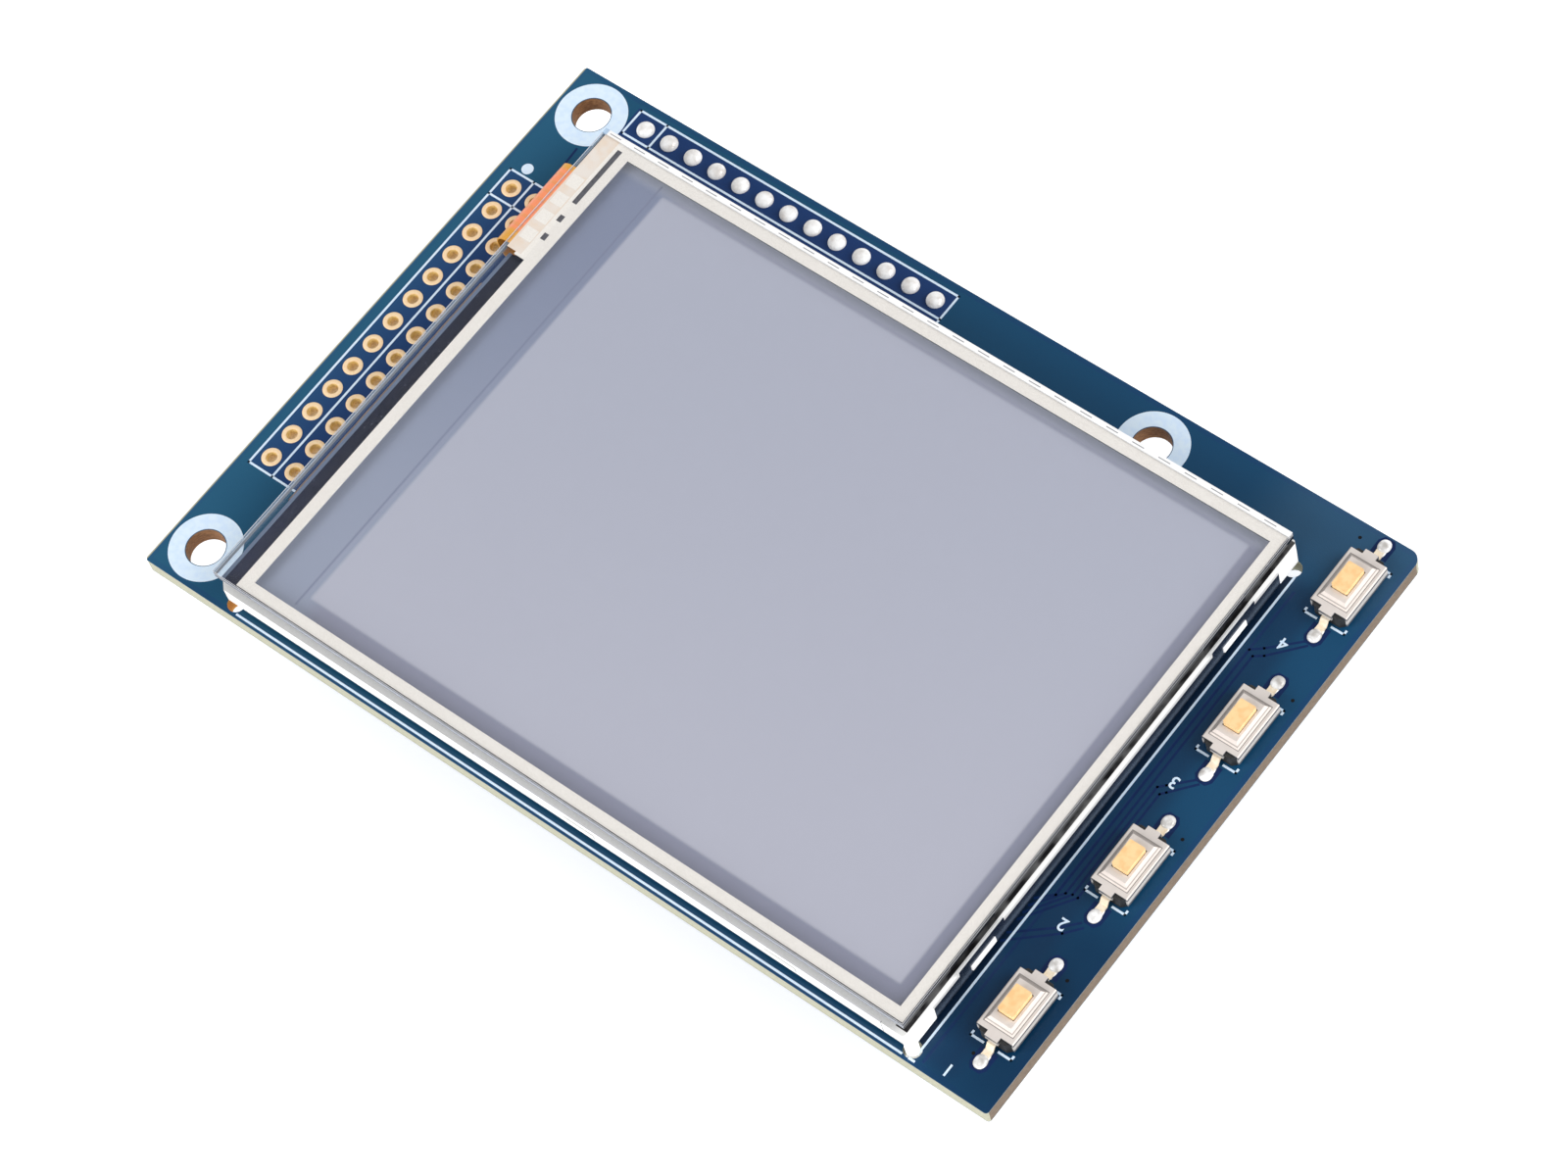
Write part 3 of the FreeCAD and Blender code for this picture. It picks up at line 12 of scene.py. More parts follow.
import bmesh
import bpy
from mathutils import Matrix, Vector


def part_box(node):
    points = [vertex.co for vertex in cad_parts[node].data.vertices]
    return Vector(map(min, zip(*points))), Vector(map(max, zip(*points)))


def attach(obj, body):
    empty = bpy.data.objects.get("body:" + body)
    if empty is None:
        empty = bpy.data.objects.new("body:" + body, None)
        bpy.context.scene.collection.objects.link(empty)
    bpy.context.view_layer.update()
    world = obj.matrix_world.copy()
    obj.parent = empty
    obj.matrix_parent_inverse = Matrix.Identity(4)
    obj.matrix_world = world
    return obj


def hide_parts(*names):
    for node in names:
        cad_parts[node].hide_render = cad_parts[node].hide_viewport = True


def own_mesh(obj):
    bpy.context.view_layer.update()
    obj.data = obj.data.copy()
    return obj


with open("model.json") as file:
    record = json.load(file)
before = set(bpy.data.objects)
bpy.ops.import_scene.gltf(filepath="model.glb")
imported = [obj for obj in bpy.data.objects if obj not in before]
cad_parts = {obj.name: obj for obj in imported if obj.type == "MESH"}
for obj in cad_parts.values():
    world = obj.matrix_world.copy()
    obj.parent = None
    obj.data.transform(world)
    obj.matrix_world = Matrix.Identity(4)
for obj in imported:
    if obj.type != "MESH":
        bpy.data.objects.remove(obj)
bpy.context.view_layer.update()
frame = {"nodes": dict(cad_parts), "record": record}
NODES = frame["nodes"]
MM = 0.001

# %% [markdown]
# ## Places that everything hangs on
# The board's top face carries the print, the rims and the solder, so its height is the first
# number. It comes from the frame and isn't typed in again. The other places are real sizes of
# the module, in millimetres, counted from the middle of the board.

# %% Read the main heights and name the pin grids
BOARD_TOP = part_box("circuit_board")[1].z / MM
BOARD_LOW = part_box("circuit_board")[0].z / MM
HALF_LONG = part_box("circuit_board")[1].x / MM
HALF_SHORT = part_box("circuit_board")[1].y / MM
PITCH = 2.54
COLUMNS = 13
SOCKET_FIRST_X = -34.13
SOCKET_Y = 24.5
BREAKOUT_X = -38.77
KEY_X = 39.5
KEY_MID_X = 39.6
KEY_PITCH = 14.2
KEY_YS = [-20.4 + KEY_PITCH * step for step in range(4)]
KEY_NUMBERS = range(1, len(KEY_YS) + 1)
KEY_SHIFT_Y = 0.15
HOLES = [(-39.0, 24.5), (19.0, 24.5), (-39.0, -24.5)]
LOCATING_HOLE = (-33.5, -26.95)
print("board top at", round(BOARD_TOP, 3), "mm")

# %% [markdown]
# ## A small language for shaders
# A node tree is maths drawn as boxes. Written as boxes, "one minus the mask" takes three lines.
# The class below wraps a socket, so that plus, minus and times add the Math nodes themselves.
# Every other node comes from one method, which takes its settings first and then its sockets.


# %% Wrap sockets so that expressions add Math nodes
class Wire:
    """One output socket of a node tree, which can be used in sums."""

    def __init__(self, tree, socket):
        self.tree = tree
        self.socket = socket

    def math(self, operation, *others):
        return add(self.tree, "ShaderNodeMath", {"operation": operation},
                   {index: item for index, item in enumerate((self, *others))})

    def __add__(self, other):
        return self.math("ADD", other)

    __radd__ = __add__

    def __mul__(self, other):
        return self.math("MULTIPLY", other)

    __rmul__ = __mul__

    def __sub__(self, other):
        return self.math("SUBTRACT", other)

    def __rsub__(self, other):
        return add(self.tree, "ShaderNodeMath", {"operation": "SUBTRACT"}, {0: other, 1: self})

    def __gt__(self, other):
        return self.math("GREATER_THAN", other)

    def __lt__(self, other):
        return self.math("LESS_THAN", other)


def add(tree, kind, settings=None, sockets=None, output=0):
    """Add a node, set it up, connect its inputs and return one output as a Wire."""
    node = tree.nodes.new(kind)
    for name, value in (settings or {}).items():
        setattr(node, name, value)
    for key, value in (sockets or {}).items():
        if isinstance(value, Wire):
            tree.links.new(value.socket, node.inputs[key])
        else:
            node.inputs[key].default_value = value
    return Wire(tree, node.outputs[output])


def three_parts(vector):
    """The x, y and z of a vector as three Wires."""
    split = vector.tree.nodes.new("ShaderNodeSeparateXYZ")
    vector.tree.links.new(vector.socket, split.inputs[0])
    return [Wire(vector.tree, split.outputs[index]) for index in range(3)]


print("shader sums ready")

# %% [markdown]
# ## Colours
# A colour picked from a screen is stored with a curve, while a renderer counts light. The
# helper turns six hex digits into linear light, so that a named colour comes out as named.


# %% Turn hex colours into linear light
def tint(text):
    parts = [int(text[index:index + 2], 16) / 255 for index in (0, 2, 4)]
    linear = [part / 12.92 if part <= 0.04045 else ((part + 0.055) / 1.055) ** 2.4
              for part in parts]
    return (*linear, 1.0)


WHITE = (1, 1, 1, 1)
print("white is", tint("ffffff"))

# %% [markdown]
# ## Starting a material
# Every finish begins the same way: a Principled shader, and the place of the shaded point in
# millimetres on the object. Object coordinates fit, because each piece sits at the origin and
# its place is in its mesh, so a pattern stays put when a key moves.


# %% Make the common start of every finish
class Finish:
    """A new material with its tree, its Principled shader and the point's place."""

    def __init__(self, name):
        self.material = bpy.data.materials.new(name)
        self.material.use_nodes = True
        self.tree = self.material.node_tree
        self.shader = self.tree.nodes["Principled BSDF"]
        place = self.add("ShaderNodeTexCoord", output=3)
        self.mm = self.add("ShaderNodeVectorMath", {"operation": "SCALE"},
                           {0: place, "Scale": 1 / MM})
        self.x, self.y, self.z = three_parts(self.mm)

    def add(self, kind, settings=None, sockets=None, output=0):
        return add(self.tree, kind, settings, sockets, output)

    def noise(self, scale, detail=2.0, stretch=None):
        """Soft random grey; scale counts blotches in one millimetre."""
        place = self.mm
        if stretch is not None:
            place = self.add("ShaderNodeVectorMath", {"operation": "MULTIPLY"},
                             {0: self.mm, 1: stretch})
        return self.add("ShaderNodeTexNoise", None,
                        {"Vector": place, "Scale": scale, "Detail": detail})

    def mix(self, factor, first, second):
        """Blend two colours."""
        return self.add("ShaderNodeMix", {"data_type": "RGBA"},
                        {0: factor, 6: first, 7: second}, output=2)

    def over(self, colour, *coats):
        """Lay coats on a colour; a coat is how much of it there is and its hex colour."""
        for amount, text in coats:
            colour = self.mix(amount, colour, tint(text))
        return colour

    def ramp(self, value, low, high):
        """Rise from 0 to 1 between two values, with soft ends."""
        return self.add("ShaderNodeMapRange", {"interpolation_type": "SMOOTHSTEP"},
                        {0: value, 1: low, 2: high, 3: 0.0, 4: 1.0})

    def between(self, value, low, high, soft):
        return self.ramp(value, low - soft, low + soft) * \
            (1 - self.ramp(value, high - soft, high + soft))

    def inside(self, x0, y0, x1, y1, soft=0.02):
        """1 inside a rectangle seen from above, 0 outside it."""
        return self.between(self.x, x0, x1, soft) * self.between(self.y, y0, y1, soft)

    def normal(self):
        """The x, y and z of the way that the surface faces."""
        return three_parts(self.add("ShaderNodeNewGeometry", output=1))

    def put(self, **sockets):
        """Connect values to the shader, with underscores for the spaces in names."""
        for name, value in sockets.items():
            target = self.shader.inputs[name.replace("_", " ").title().replace("Ior", "IOR")]
            if isinstance(value, Wire):
                self.tree.links.new(value.socket, target)
            else:
                target.default_value = value

    def bump(self, height, distance, strength=1.0):
        """Give the surface small relief; distance is its depth in millimetres."""
        relief = self.add("ShaderNodeBump", None,
                          {"Strength": strength, "Distance": distance * MM, "Height": height})
        self.tree.links.new(relief.socket, self.shader.inputs["Normal"])


print("common start ready")

# %% [markdown]
# ## The blue board
# Solder mask is a thin glossy lacquer. Over copper it looks teal, and over bare laminate it
# goes navy, so the copper's outline shows through as a change of blue. The cut sides are pale
# glass-fibre laminate. One material does all three: the face's direction picks mask or side,
# and rectangles pick out where the copper is missing. The walls of the holes are browner, and
# the small locating hole at the display's corner is golden.


# %% Make the board's finish
def board_finish():
    paint = Finish("board_mask")
    upward = paint.normal()[2] > 0.5
    inset = 0.45
    pour = paint.inside(-HALF_LONG + inset, -HALF_SHORT + inset, HALF_LONG - inset,
                        HALF_SHORT - inset, 0.05)
    header = paint.inside(-36.0, 22.0, -2.2, 27.2, 0.05)
    breakout = paint.inside(-41.45, -16.7, -36.1, 16.7, 0.05)
    gap_right = paint.inside(35.9, -27.4, 36.15, 20.0, 0.05)
    open_ground = (pour * 0.3 + 0.7) * (1 - header) * (1 - breakout) * (1 - gap_right)
    copper = paint.mix(paint.ramp(paint.x, -40.0, 20.0), tint("18506f"), tint("114568"))
    grain = paint.noise(9.0, 3.0)
    lower_right = paint.inside(37.5, -29.0, 60.0, -10.0, 3.5)
    left_end = paint.ramp(paint.x, -36.0, -43.0)
    upper_right = paint.inside(30.0, 22.0, 60.0, 40.0, 3.0)
    # Painted shadow: a dark band on the board at the foot of the display's frame, with painted
    # shade fading out beside it.
    frame_foot_shadow = paint.inside(34.0, -26.4, 35.3, 21.6, 0.2) * upward
    frame_shade = paint.inside(34.5, -27.4, 38.6, 21.0, 1.0) * upward
    left_rim = (1 - paint.ramp(paint.x, 0.08 - HALF_LONG, 0.16 - HALF_LONG)) * upward
    face = paint.over(paint.mix(open_ground, tint("19376c"), copper),
                      (paint.noise(0.15) * 0.25, "123f64"), (lower_right * 0.8, "002c4c"),
                      (left_end * 0.25, "35708f"), (upper_right * 0.2, "56748c"),
                      (frame_foot_shadow * 0.9, "050f1e"), (frame_shade * 0.5, "0d2747"),
                      (left_rim * 0.8, "c9c2a0"))
    fibre = paint.noise(3.0, 3.0, (1.0, 1.0, 7.0))
    # The right side gets darker laminate colours, painted shade on that side.
    shaded_right_side = paint.x > HALF_LONG - 0.01
    pale = paint.mix(shaded_right_side, tint("b3b29f"), tint("7b6b5c"))
    deep = paint.mix(shaded_right_side, tint("9f9e89"), tint("645648"))
    side = paint.mix(paint.ramp(fibre, 0.3, 0.7), pale, deep)
    level = paint.z - BOARD_LOW
    outer_skin = paint.ramp(level, 1.5, 1.56) + (1 - paint.ramp(level, 0.04, 0.1))
    side = paint.over(side, (outer_skin * 0.8, "6d8390"))
    bores = [(x, y, 1.9, "a3754c", "6c482b") for x, y in HOLES]
    bores.append((*LOCATING_HOLE, 0.8, "f4c066", "d29a44"))
    for x, y, reach, pale_bore, deep_bore in bores:
        span = ((paint.x - x) * (paint.x - x) + (paint.y - y) * (paint.y - y)).math("SQRT")
        side = paint.mix(1 - paint.ramp(span, reach, reach + 0.2), side,
                         paint.mix(paint.ramp(fibre, 0.3, 0.7), tint(pale_bore),
                                   tint(deep_bore)))
    flat = paint.normal()[2].math("ABSOLUTE") > 0.5
    paint.put(base_color=paint.mix(flat, side, face),
              roughness=0.62 - flat * 0.3 + grain * 0.06, specular_ior_level=0.22)
    paint.bump(grain + open_ground * 0.6, 0.012)
    return paint.material


board_mask = board_finish()
print("made", board_mask.name)

# %% [markdown]
# ## Plastics and films
# Moulded plastic is never one even colour at close range: a fine grain breaks up its highlight.
# The helper below gives any plastic two close shades, a roughness and a relief.


# %% Make the plastic finishes
def plastic(name, light, dark, rough, grain=6.0, relief=0.006, coat=0.0):
    paint = Finish(name)
    fine = paint.noise(grain, 3.0)
    wide = paint.noise(0.3)
    shade = paint.ramp(fine, 0.35, 0.7) * 0.7 + wide * 0.3
    paint.put(base_color=paint.mix(shade, tint(light), tint(dark)),
              roughness=fine * 0.1 + rough, coat_weight=coat)
    paint.bump(fine, relief)
    return paint.material


print("plastic helper ready")

# %% [markdown]
# ## Metals
# Tin, solder, gold and rolled steel differ in how clean their reflection is. Noise stretched in
# one direction makes the fine lines of rolled sheet. Solder solidifies with a slightly uneven
# skin, so it gets a soft bump and patches of roughness.


# %% Make the metal finishes
def metal(name, light, dark, rough, grain, stretch=None, relief=0.004, shine=1.0, glow=0.0):
    paint = Finish(name)
    fine = paint.noise(grain, 3.0, stretch)
    wide = paint.noise(grain * 0.15)
    paint.put(base_color=paint.mix(paint.ramp(fine, 0.3, 0.75), tint(light), tint(dark)),
              metallic=shine, roughness=paint.ramp(wide, 0.3, 0.7) * 0.06 + rough,
              emission_color=WHITE, emission_strength=glow)
    if relief:
        paint.bump(fine, relief)
    return paint.material


# The solders and the leads' tin get a small emission, a painted glow that brightens them.
solder = metal("bright_solder", "ffffff", "cfc8c2", 0.2, 1.1, None, 0.06, 0.12, 0.14)
tinned = metal("tinned_copper", "efe6cf", "c8b48a", 0.22, 6.0)
lead_tin = metal("lead_tin", "fff2dc", "fbe4c0", 0.25, 3.0, None, 0.0, 0.1, 0.05)
gold = plastic("gold_plate", "ffe4ba", "fdd5a6", 0.3, 5.0, 0.003, 0.2)
bore_gold = plastic("gold_bore", "f8dc98", "d6b268", 0.35, 5.0, 0.003, 0.2)
key_tin = metal("key_solder_tin", "ffffff", "a8a29c", 0.2, 1.3, None, 0.06, 0.12, 0.14)
spring_steel = metal("spring_steel", "cfcfcf", "9f9f9f", 0.25, 8.0)


def bezel_finish():
    paint = Finish("rolled_steel")
    fine = paint.noise(5.0, 3.0, (0.05, 0.05, 3.0))
    facing = paint.normal()
    # Front and top faces are painted near white, a painted highlight; the other faces get a dark
    # blue-grey tint, a painted reflection of the board.
    pale = (facing[1] < -0.5).math("MAXIMUM", facing[2] > 0.5)
    paint.put(base_color=paint.mix(pale, tint("5c6678"),
                                   paint.mix(fine, tint("ffffff"), tint("f1f1f2"))),
              metallic=1.0 - pale * 0.9, roughness=pale * 0.2 + 0.25)
    return paint.material


mirror_steel = bezel_finish()
METALS = (solder, key_tin, lead_tin, tinned, gold, bore_gold, mirror_steel)
print("metals:", [finish.name for finish in METALS])

# %% [markdown]
# ## The key covers
# A key's cover is pressed from thin bright sheet. Its flats mirror a grey ceiling and its bent
# edges mirror the lamps, and the finish paints that by the face's direction: a painted white
# highlight on the slopes beside the flats, painted shade on the sides with a band of painted
# shine, and fine lines of painted shade along the bend line and at the creased foot of the
# raised collar.


# %% Make the cover's finish
FOLD_HEIGHT, COLLAR_HALF_X, COLLAR_HALF_Y = 1.66, 1.37, 2.22


def cover_finish():
    paint = Finish("key_cover_steel")
    facing = paint.normal()
    level = facing[2].math("ABSOLUTE")
    sloped = paint.ramp(level, 0.25, 0.35) * (1 - paint.ramp(level, 0.94, 0.98))
    # Slopes that face the lamps get a painted white highlight, the others a painted grey shade.
    lit = paint.ramp(facing[0] - facing[1], -0.1, 0.3)
    fine = paint.noise(1.5, 2.0, (1.0, 0.2, 1.0))
    flat = paint.mix(fine, tint("e4dcd7"), tint("d8d0ca"))
    slope = paint.mix(lit, tint("a8a09b"), paint.mix(fine, tint("f4eae3"), tint("dfd3cb")))
    # A fine line of painted shade along the bend line of the slopes.
    fold_shade = (paint.z - BOARD_TOP - FOLD_HEIGHT).math("ABSOLUTE")
    slope = paint.over(slope, ((1 - paint.ramp(fold_shade, 0.02, 0.07)) * 0.6, "6b6461"))
    # The sides are painted dark grey as shade, with a band of painted shine across them.
    shine = paint.ramp(paint.z, BOARD_TOP + 0.5, BOARD_TOP + 0.62) * \
        (1 - paint.ramp(paint.z, BOARD_TOP + 1.05, BOARD_TOP + 1.2))
    side = paint.over(tint("6b6d72"), (fine, "4d5056"), (shine * 0.85, "d5d0cb"))
    base = paint.mix(paint.ramp(level, 0.2, 0.3), side, flat)
    base = paint.mix(sloped, base, slope)
    # A fine line of painted shade along the creased foot of the raised collar.
    along = (paint.y - KEY_YS[0] - KEY_SHIFT_Y + KEY_PITCH / 2).math(
        "FLOORED_MODULO", KEY_PITCH) - KEY_PITCH / 2
    reach_x = (paint.x - KEY_MID_X).math("ABSOLUTE") - COLLAR_HALF_X
    reach_y = along.math("ABSOLUTE") - COLLAR_HALF_Y
    crease_shade = reach_x.math("MAXIMUM", reach_y).math("ABSOLUTE")
    top = paint.ramp(level, 0.9, 0.98)
    base = paint.over(base, ((1 - paint.ramp(crease_shade, 0.02, 0.07)) * top * 0.75, "5f5a58"))
    paint.put(base_color=base, metallic=top * 0.15, roughness=fine * 0.08 + 0.28)
    return paint.material


cover_steel = cover_finish()
print("made", cover_steel.name)

# %% [markdown]
# ## The plastics of this module
# Each call below names one real material: the black mouldings, the films, the light guide, the
# lamp, the flexes, the foam, the plunger, the two inks and the two ceramics.

# %% Make each plastic
black_moulding = plastic("black_moulding", "2b2b2d", "1c1c1e", 0.5)
key_black = plastic("key_base_black", "30302f", "201f1f", 0.42)
white_film = plastic("white_film", "f4f5f6", "e8eaec", 0.5)
clear_film = plastic("prism_film", "c8ccd6", "b4bac8", 0.3)
guide_acrylic = plastic("light_guide_acrylic", "dfe6ea", "c9d4da", 0.15)
lamp_finish = plastic("lamp_phosphor", "f5eaa8", "e4d06a", 0.35)
amber_flex = plastic("amber_flex", "6e4a24", "543718", 0.3, 4.0, 0.003, 0.3)
foam = plastic("foam_tape", "3a3b40", "232428", 0.9, 10.0, 0.03)
plunger_tan = plastic("plunger_tan", "fcd8a0", "f2c184", 0.5, 1.6, 0.003)
cream_ink = plastic("cream_ink", "f0ece6", "e2ddd6", 0.45, 12.0, 0.004)
silk_ink = plastic("silk_ink", "e0f1ff", "d3e8ff", 0.5, 2.0, 0.0)
tan_ceramic = plastic("tan_ceramic", "a5855c", "86683f", 0.5)
black_ceramic = plastic("black_ceramic", "232326", "141416", 0.4)
print("plastics ready")

# %% [markdown]
# ## The white frame round the display
# The frame's rim beside the touch panel gets a painted black shadow line where the panel hangs
# over it, and its free edge gets a painted white glow. A shadow that thin is painted by place,
# and the glow is a little emission in a fixed strength.


# %% Make the frame's finish
FRAME_RIM_X = 34.38


def frame_finish():
    paint = Finish("white_frame")
    fine = paint.noise(6.0, 3.0)
    # Painted shadow: a black line where the touch panel hangs over the rim.
    gap = paint.inside(33.3, -26.7, FRAME_RIM_X, 22.7, 0.02)
    line = paint.ramp(paint.noise(0.5), 0.3, 0.6) * 0.2 + 0.8
    # Painted glow: the free edge beyond the rim gets a little white emission.
    glow = paint.ramp(paint.x, FRAME_RIM_X, FRAME_RIM_X + 0.04)
    base = paint.over(tint("f7f7f5"), (fine, "e6e6e3"), (gap * line, "161416"))
    paint.put(base_color=base, roughness=fine * 0.1 + 0.42,
              emission_color=paint.mix(glow, tint("000000"), tint("ffffff")),
              emission_strength=0.4)
    paint.bump(fine, 0.004)
    return paint.material


white_frame = frame_finish()
print("made", white_frame.name)

# %% [markdown]
# ## The display's face
# A switched-off display is a grey mirror behind a polariser. Its picture area is a little
# lighter than the rim round it, and the rim is widest on the side of the driver chip. A thin
# dark line marks the start of the picture area there. All of that is a matter of place, so
# soft-edged rectangles mix the colours, with a very fine grain like the pixel rows.


# %% Make the polariser's finish
PICTURE_AREA = (-27.1, -24.1, 31.9, 20.2)


def polariser_finish():
    paint = Finish("front_polariser")
    picture = paint.inside(*PICTURE_AREA, 0.2)
    fall = paint.ramp(paint.y * 0.5 - paint.x * 0.2, -18.0, 12.0)
    grey = paint.over(tint("c0c2d2"), (fall, "b1b6c9"), (paint.noise(0.05, 1.0) * 0.35, "b6b5c6"))
    # The rim is painted lighter towards its top edge, painted light that lifts the shadow cast by
    # the cream strip.
    rim = paint.over(tint("8f9ab4"), (paint.ramp(paint.y, -22.0, 18.0), "6b799c"),
                     (paint.ramp(paint.x, -27.5, -25.0), "82859f"),
                     (paint.ramp(paint.y, 19.9, 21.2) * 0.8, "b6bdd0"))
    line = paint.inside(-27.85, -25.2, -27.68, 21.0, 0.09)
    grain = paint.noise(16.0)
    body = paint.over(paint.mix(picture, rim, grey), (line * 0.7, "5a6388"),
                      (grain * 0.16, "c6c6d6"))
    paint.put(base_color=body, roughness=0.34, coat_weight=0.25, coat_roughness=0.25)
    paint.bump(grain, 0.002)
    return paint.material


front_grey = polariser_finish()
rear_grey = plastic("rear_polariser_grey", "6d7086", "5a5d72", 0.35)
print("display face ready")

# %% [markdown]
# ## Glass that can be looked through
# The touch panel is glass and film over the display. In a path tracer real refraction makes
# everything under a thin pane dark and noisy, so a pane is made mostly transparent instead.
# A Layer Weight adds opacity at grazing angles, which is what a shiny pane does.


# %% Make the see-through finishes
def pane(name, colour, clear, grazing, rough, layers):
    """A clear pane; layers lists (height, right side's painted shade, front's painted light) edge
    steps.
    """
    paint = Finish(name)
    edge = paint.add("ShaderNodeLayerWeight", None, {"Blend": 0.35}, output=1)
    smear = paint.noise(0.4)
    sides = 1 - paint.ramp(paint.normal()[2].math("ABSOLUTE"), 0.4, 0.6)
    # The right side takes the dark colours as painted shade, the front the light ones as painted
    # light.
    right = paint.x > RIGHT_EDGE
    shade = paint.mix(right, tint(layers[0][2]), tint(layers[0][1]))
    for height, dark, light in layers[1:]:
        shade = paint.mix(paint.ramp(paint.z, height - 0.015, height + 0.015), shade,
                          paint.mix(right, tint(light), tint(dark)))
    margin = 1 - paint.ramp(paint.x, -34.42, -34.3)
    # A painted highlight: extra opacity in a thin band makes a pale line along the glass's left
    # edge.
    bright = paint.inside(-34.8, -27.0, -34.62, 23.0, 0.03)
    # Beyond the border's far edge the pane shows grey, with white dashes at the socket's pitch
    # that are painted reflections of the socket's pins.
    far = paint.ramp(paint.y, FAR_EDGE - 0.03, FAR_EDGE + 0.03)
    beat = ((paint.x - SOCKET_FIRST_X) * (1 / PITCH)).math("FRACT")
    pin_reflection = paint.inside(-60.0, FAR_EDGE + 0.2, 60.0, FAR_EDGE + 0.27, 0.02) * (beat < 0.45)
    top = paint.mix(far, tint(colour), paint.mix(pin_reflection, tint("ffffff"), tint("77787f")))
    top = paint.over(top, (margin, "b5cde6"))
    coated = paint.ramp(paint.x, -32.5, -32.4) * 0.85 + 0.15
    alpha = (edge * grazing + clear) * coated + sides + margin * 0.03 + bright * 0.12 + far * 0.85
    paint.put(base_color=paint.mix(sides, top, shade),
              alpha=alpha.math("MINIMUM", 1.0), roughness=smear * 0.05 + rough,
              specular_ior_level=0.25)
    return paint.material


RIGHT_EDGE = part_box("touch_glass")[1].x / MM - 0.01
FAR_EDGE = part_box("touch_border")[1].y / MM
PANE_LOW, PANE_HIGH = (value.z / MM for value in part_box("touch_glass"))
FILM_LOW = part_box("touch_film")[0].z / MM
# In each layer the first colour is the right side's painted shade, the second the front's painted
# light.
touch_pane = pane("touch_glass_pane", "dfe4ee", 0.02, 0.12, 0.06,
                  [(PANE_LOW, "131317", "8b8c92"), (PANE_LOW + 0.38, "9c9da1", "c2c3c7"),
                   (PANE_HIGH - 0.1, "2a2a30", "55555c")])
film_pane = pane("touch_film_pane", "e2e6f0", 0.02, 0.14, 0.1,
                 [(FILM_LOW, "4a4a50", "6a6a70"), (FILM_LOW + 0.04, "d9d9dc", "e4e4e6")])
cell_pane = plastic("display_cell_glass", "5f6478", "4c5166", 0.12, 2.0, 0.001)
print("panes ready")

# %% [markdown]
# ## Tape and the orange flex
# The dark tape beside the display has a satin face with a few specks. The flex of the touch
# panel is orange film over wide copper tracks, and it turns golden where the film is single.


# %% Make the tape and flex finishes
def tape_finish():
    paint = Finish("ledge_tape_dark")
    speck = paint.ramp(paint.noise(4.0, 4.0), 0.68, 0.74)
    clear_edge = 1 - paint.ramp(paint.x, -34.08, -33.98)
    base = paint.over(tint("2a3048"), (paint.ramp(paint.y, -28.0, -8.0), "141a30"),
                      (paint.noise(0.25, 1.0) * 0.3, "23283e"), (clear_edge * 0.8, "7a8aa4"),
                      (speck * 0.5, "9aa0b4"))
    paint.put(base_color=base, roughness=0.28)
    paint.bump(speck, 0.004)
    return paint.material


def orange_finish():
    paint = Finish("orange_flex_film")
    beat = (paint.y * 1.05).math("FRACT")
    track = paint.ramp(beat, 0.12, 0.2) * (1 - paint.ramp(beat, 0.78, 0.86))
    middle = paint.inside(-60.0, 10.9, 60.0, 17.7, 0.25)
    film = paint.mix(track, tint("f59a60"), tint("ff9768"))
    grain = paint.noise(5.0)
    paint.put(base_color=paint.mix(middle, tint("e9a640"), film),
              roughness=grain * 0.1 + 0.3)
    paint.bump(track + grain * 0.3, 0.01)
    return paint.material


dark_tape = tape_finish()
orange_flex = orange_finish()
print("tape and flex ready")

# %% [markdown]
# ## Dress the solids that came with the model
# Most solids have the right shape already and only need their finish. A table of material
# slots does it in one go, and a few nodes get a finish of their own after that.

# %% Give every node its finish
SLOT_FINISH = {
    "board": board_mask, "gold": gold, "black_plastic": black_moulding, "tin": tinned,
    "solder": solder, "foam": foam, "mirror_steel": mirror_steel,
    "white_plastic": white_frame, "white_film": white_film, "clear_plastic": guide_acrylic,
    "clear_film": clear_film, "lamp": lamp_finish, "amber_flex": amber_flex,
    "polariser": front_grey, "display_glass": cell_pane, "dark_tape": dark_tape,
    "touch_glass": touch_pane, "touch_film": film_pane, "cream_ink": cream_ink,
    "orange_flex": orange_flex, "spring_steel": spring_steel, "cover_steel": cover_steel,
    "plunger_plastic": plunger_tan, "ceramic_tan": tan_ceramic,
    "ceramic_black": black_ceramic,
}


def dress(node, material):
    mesh = NODES[node].data
    mesh.materials.clear()
    mesh.materials.append(material)


for part in frame["record"]["subparts"]:
    dress(part["node"], SLOT_FINISH[part["material_slot"]])
dress("rear_polariser", rear_grey)
for number in KEY_NUMBERS:
    dress(f"key_{number}_base", key_black)
    dress(f"key_{number}_leads", lead_tin)

# %% [markdown]
# ## Helpers for added pieces
# A piece is a mesh in metres that sits at the origin and rides on a body of the model. The
# helpers put it in the scene, make it from lists, stack plain bars, turn a profile about an
# upright axis and shade what is round.


# %% Make pieces from meshes
def show(name, content):
    """A new object with this mesh, curve, lamp or camera, in the scene."""
    made = bpy.data.objects.new(name, content)
    bpy.context.scene.collection.objects.link(made)
    return made


def piece(name, vertices, faces, material, body="module"):
    mesh = bpy.data.meshes.new(name)
    mesh.from_pydata([[value * MM for value in corner] for corner in vertices], [], faces)
    mesh.materials.append(material)
    made = show(name, mesh)
    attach(made, body)
    return made


def add_bar(vertices, faces, x0, y0, x1, y1, z0, z1):
    start = len(vertices)
    for z in (z0, z1):
        vertices += [(x0, y0, z), (x1, y0, z), (x1, y1, z), (x0, y1, z)]
    quads = [(3, 2, 1, 0), (4, 5, 6, 7), (0, 1, 5, 4), (1, 2, 6, 5), (2, 3, 7, 6), (3, 0, 4, 7)]
    faces += [tuple(start + corner for corner in quad) for quad in quads]


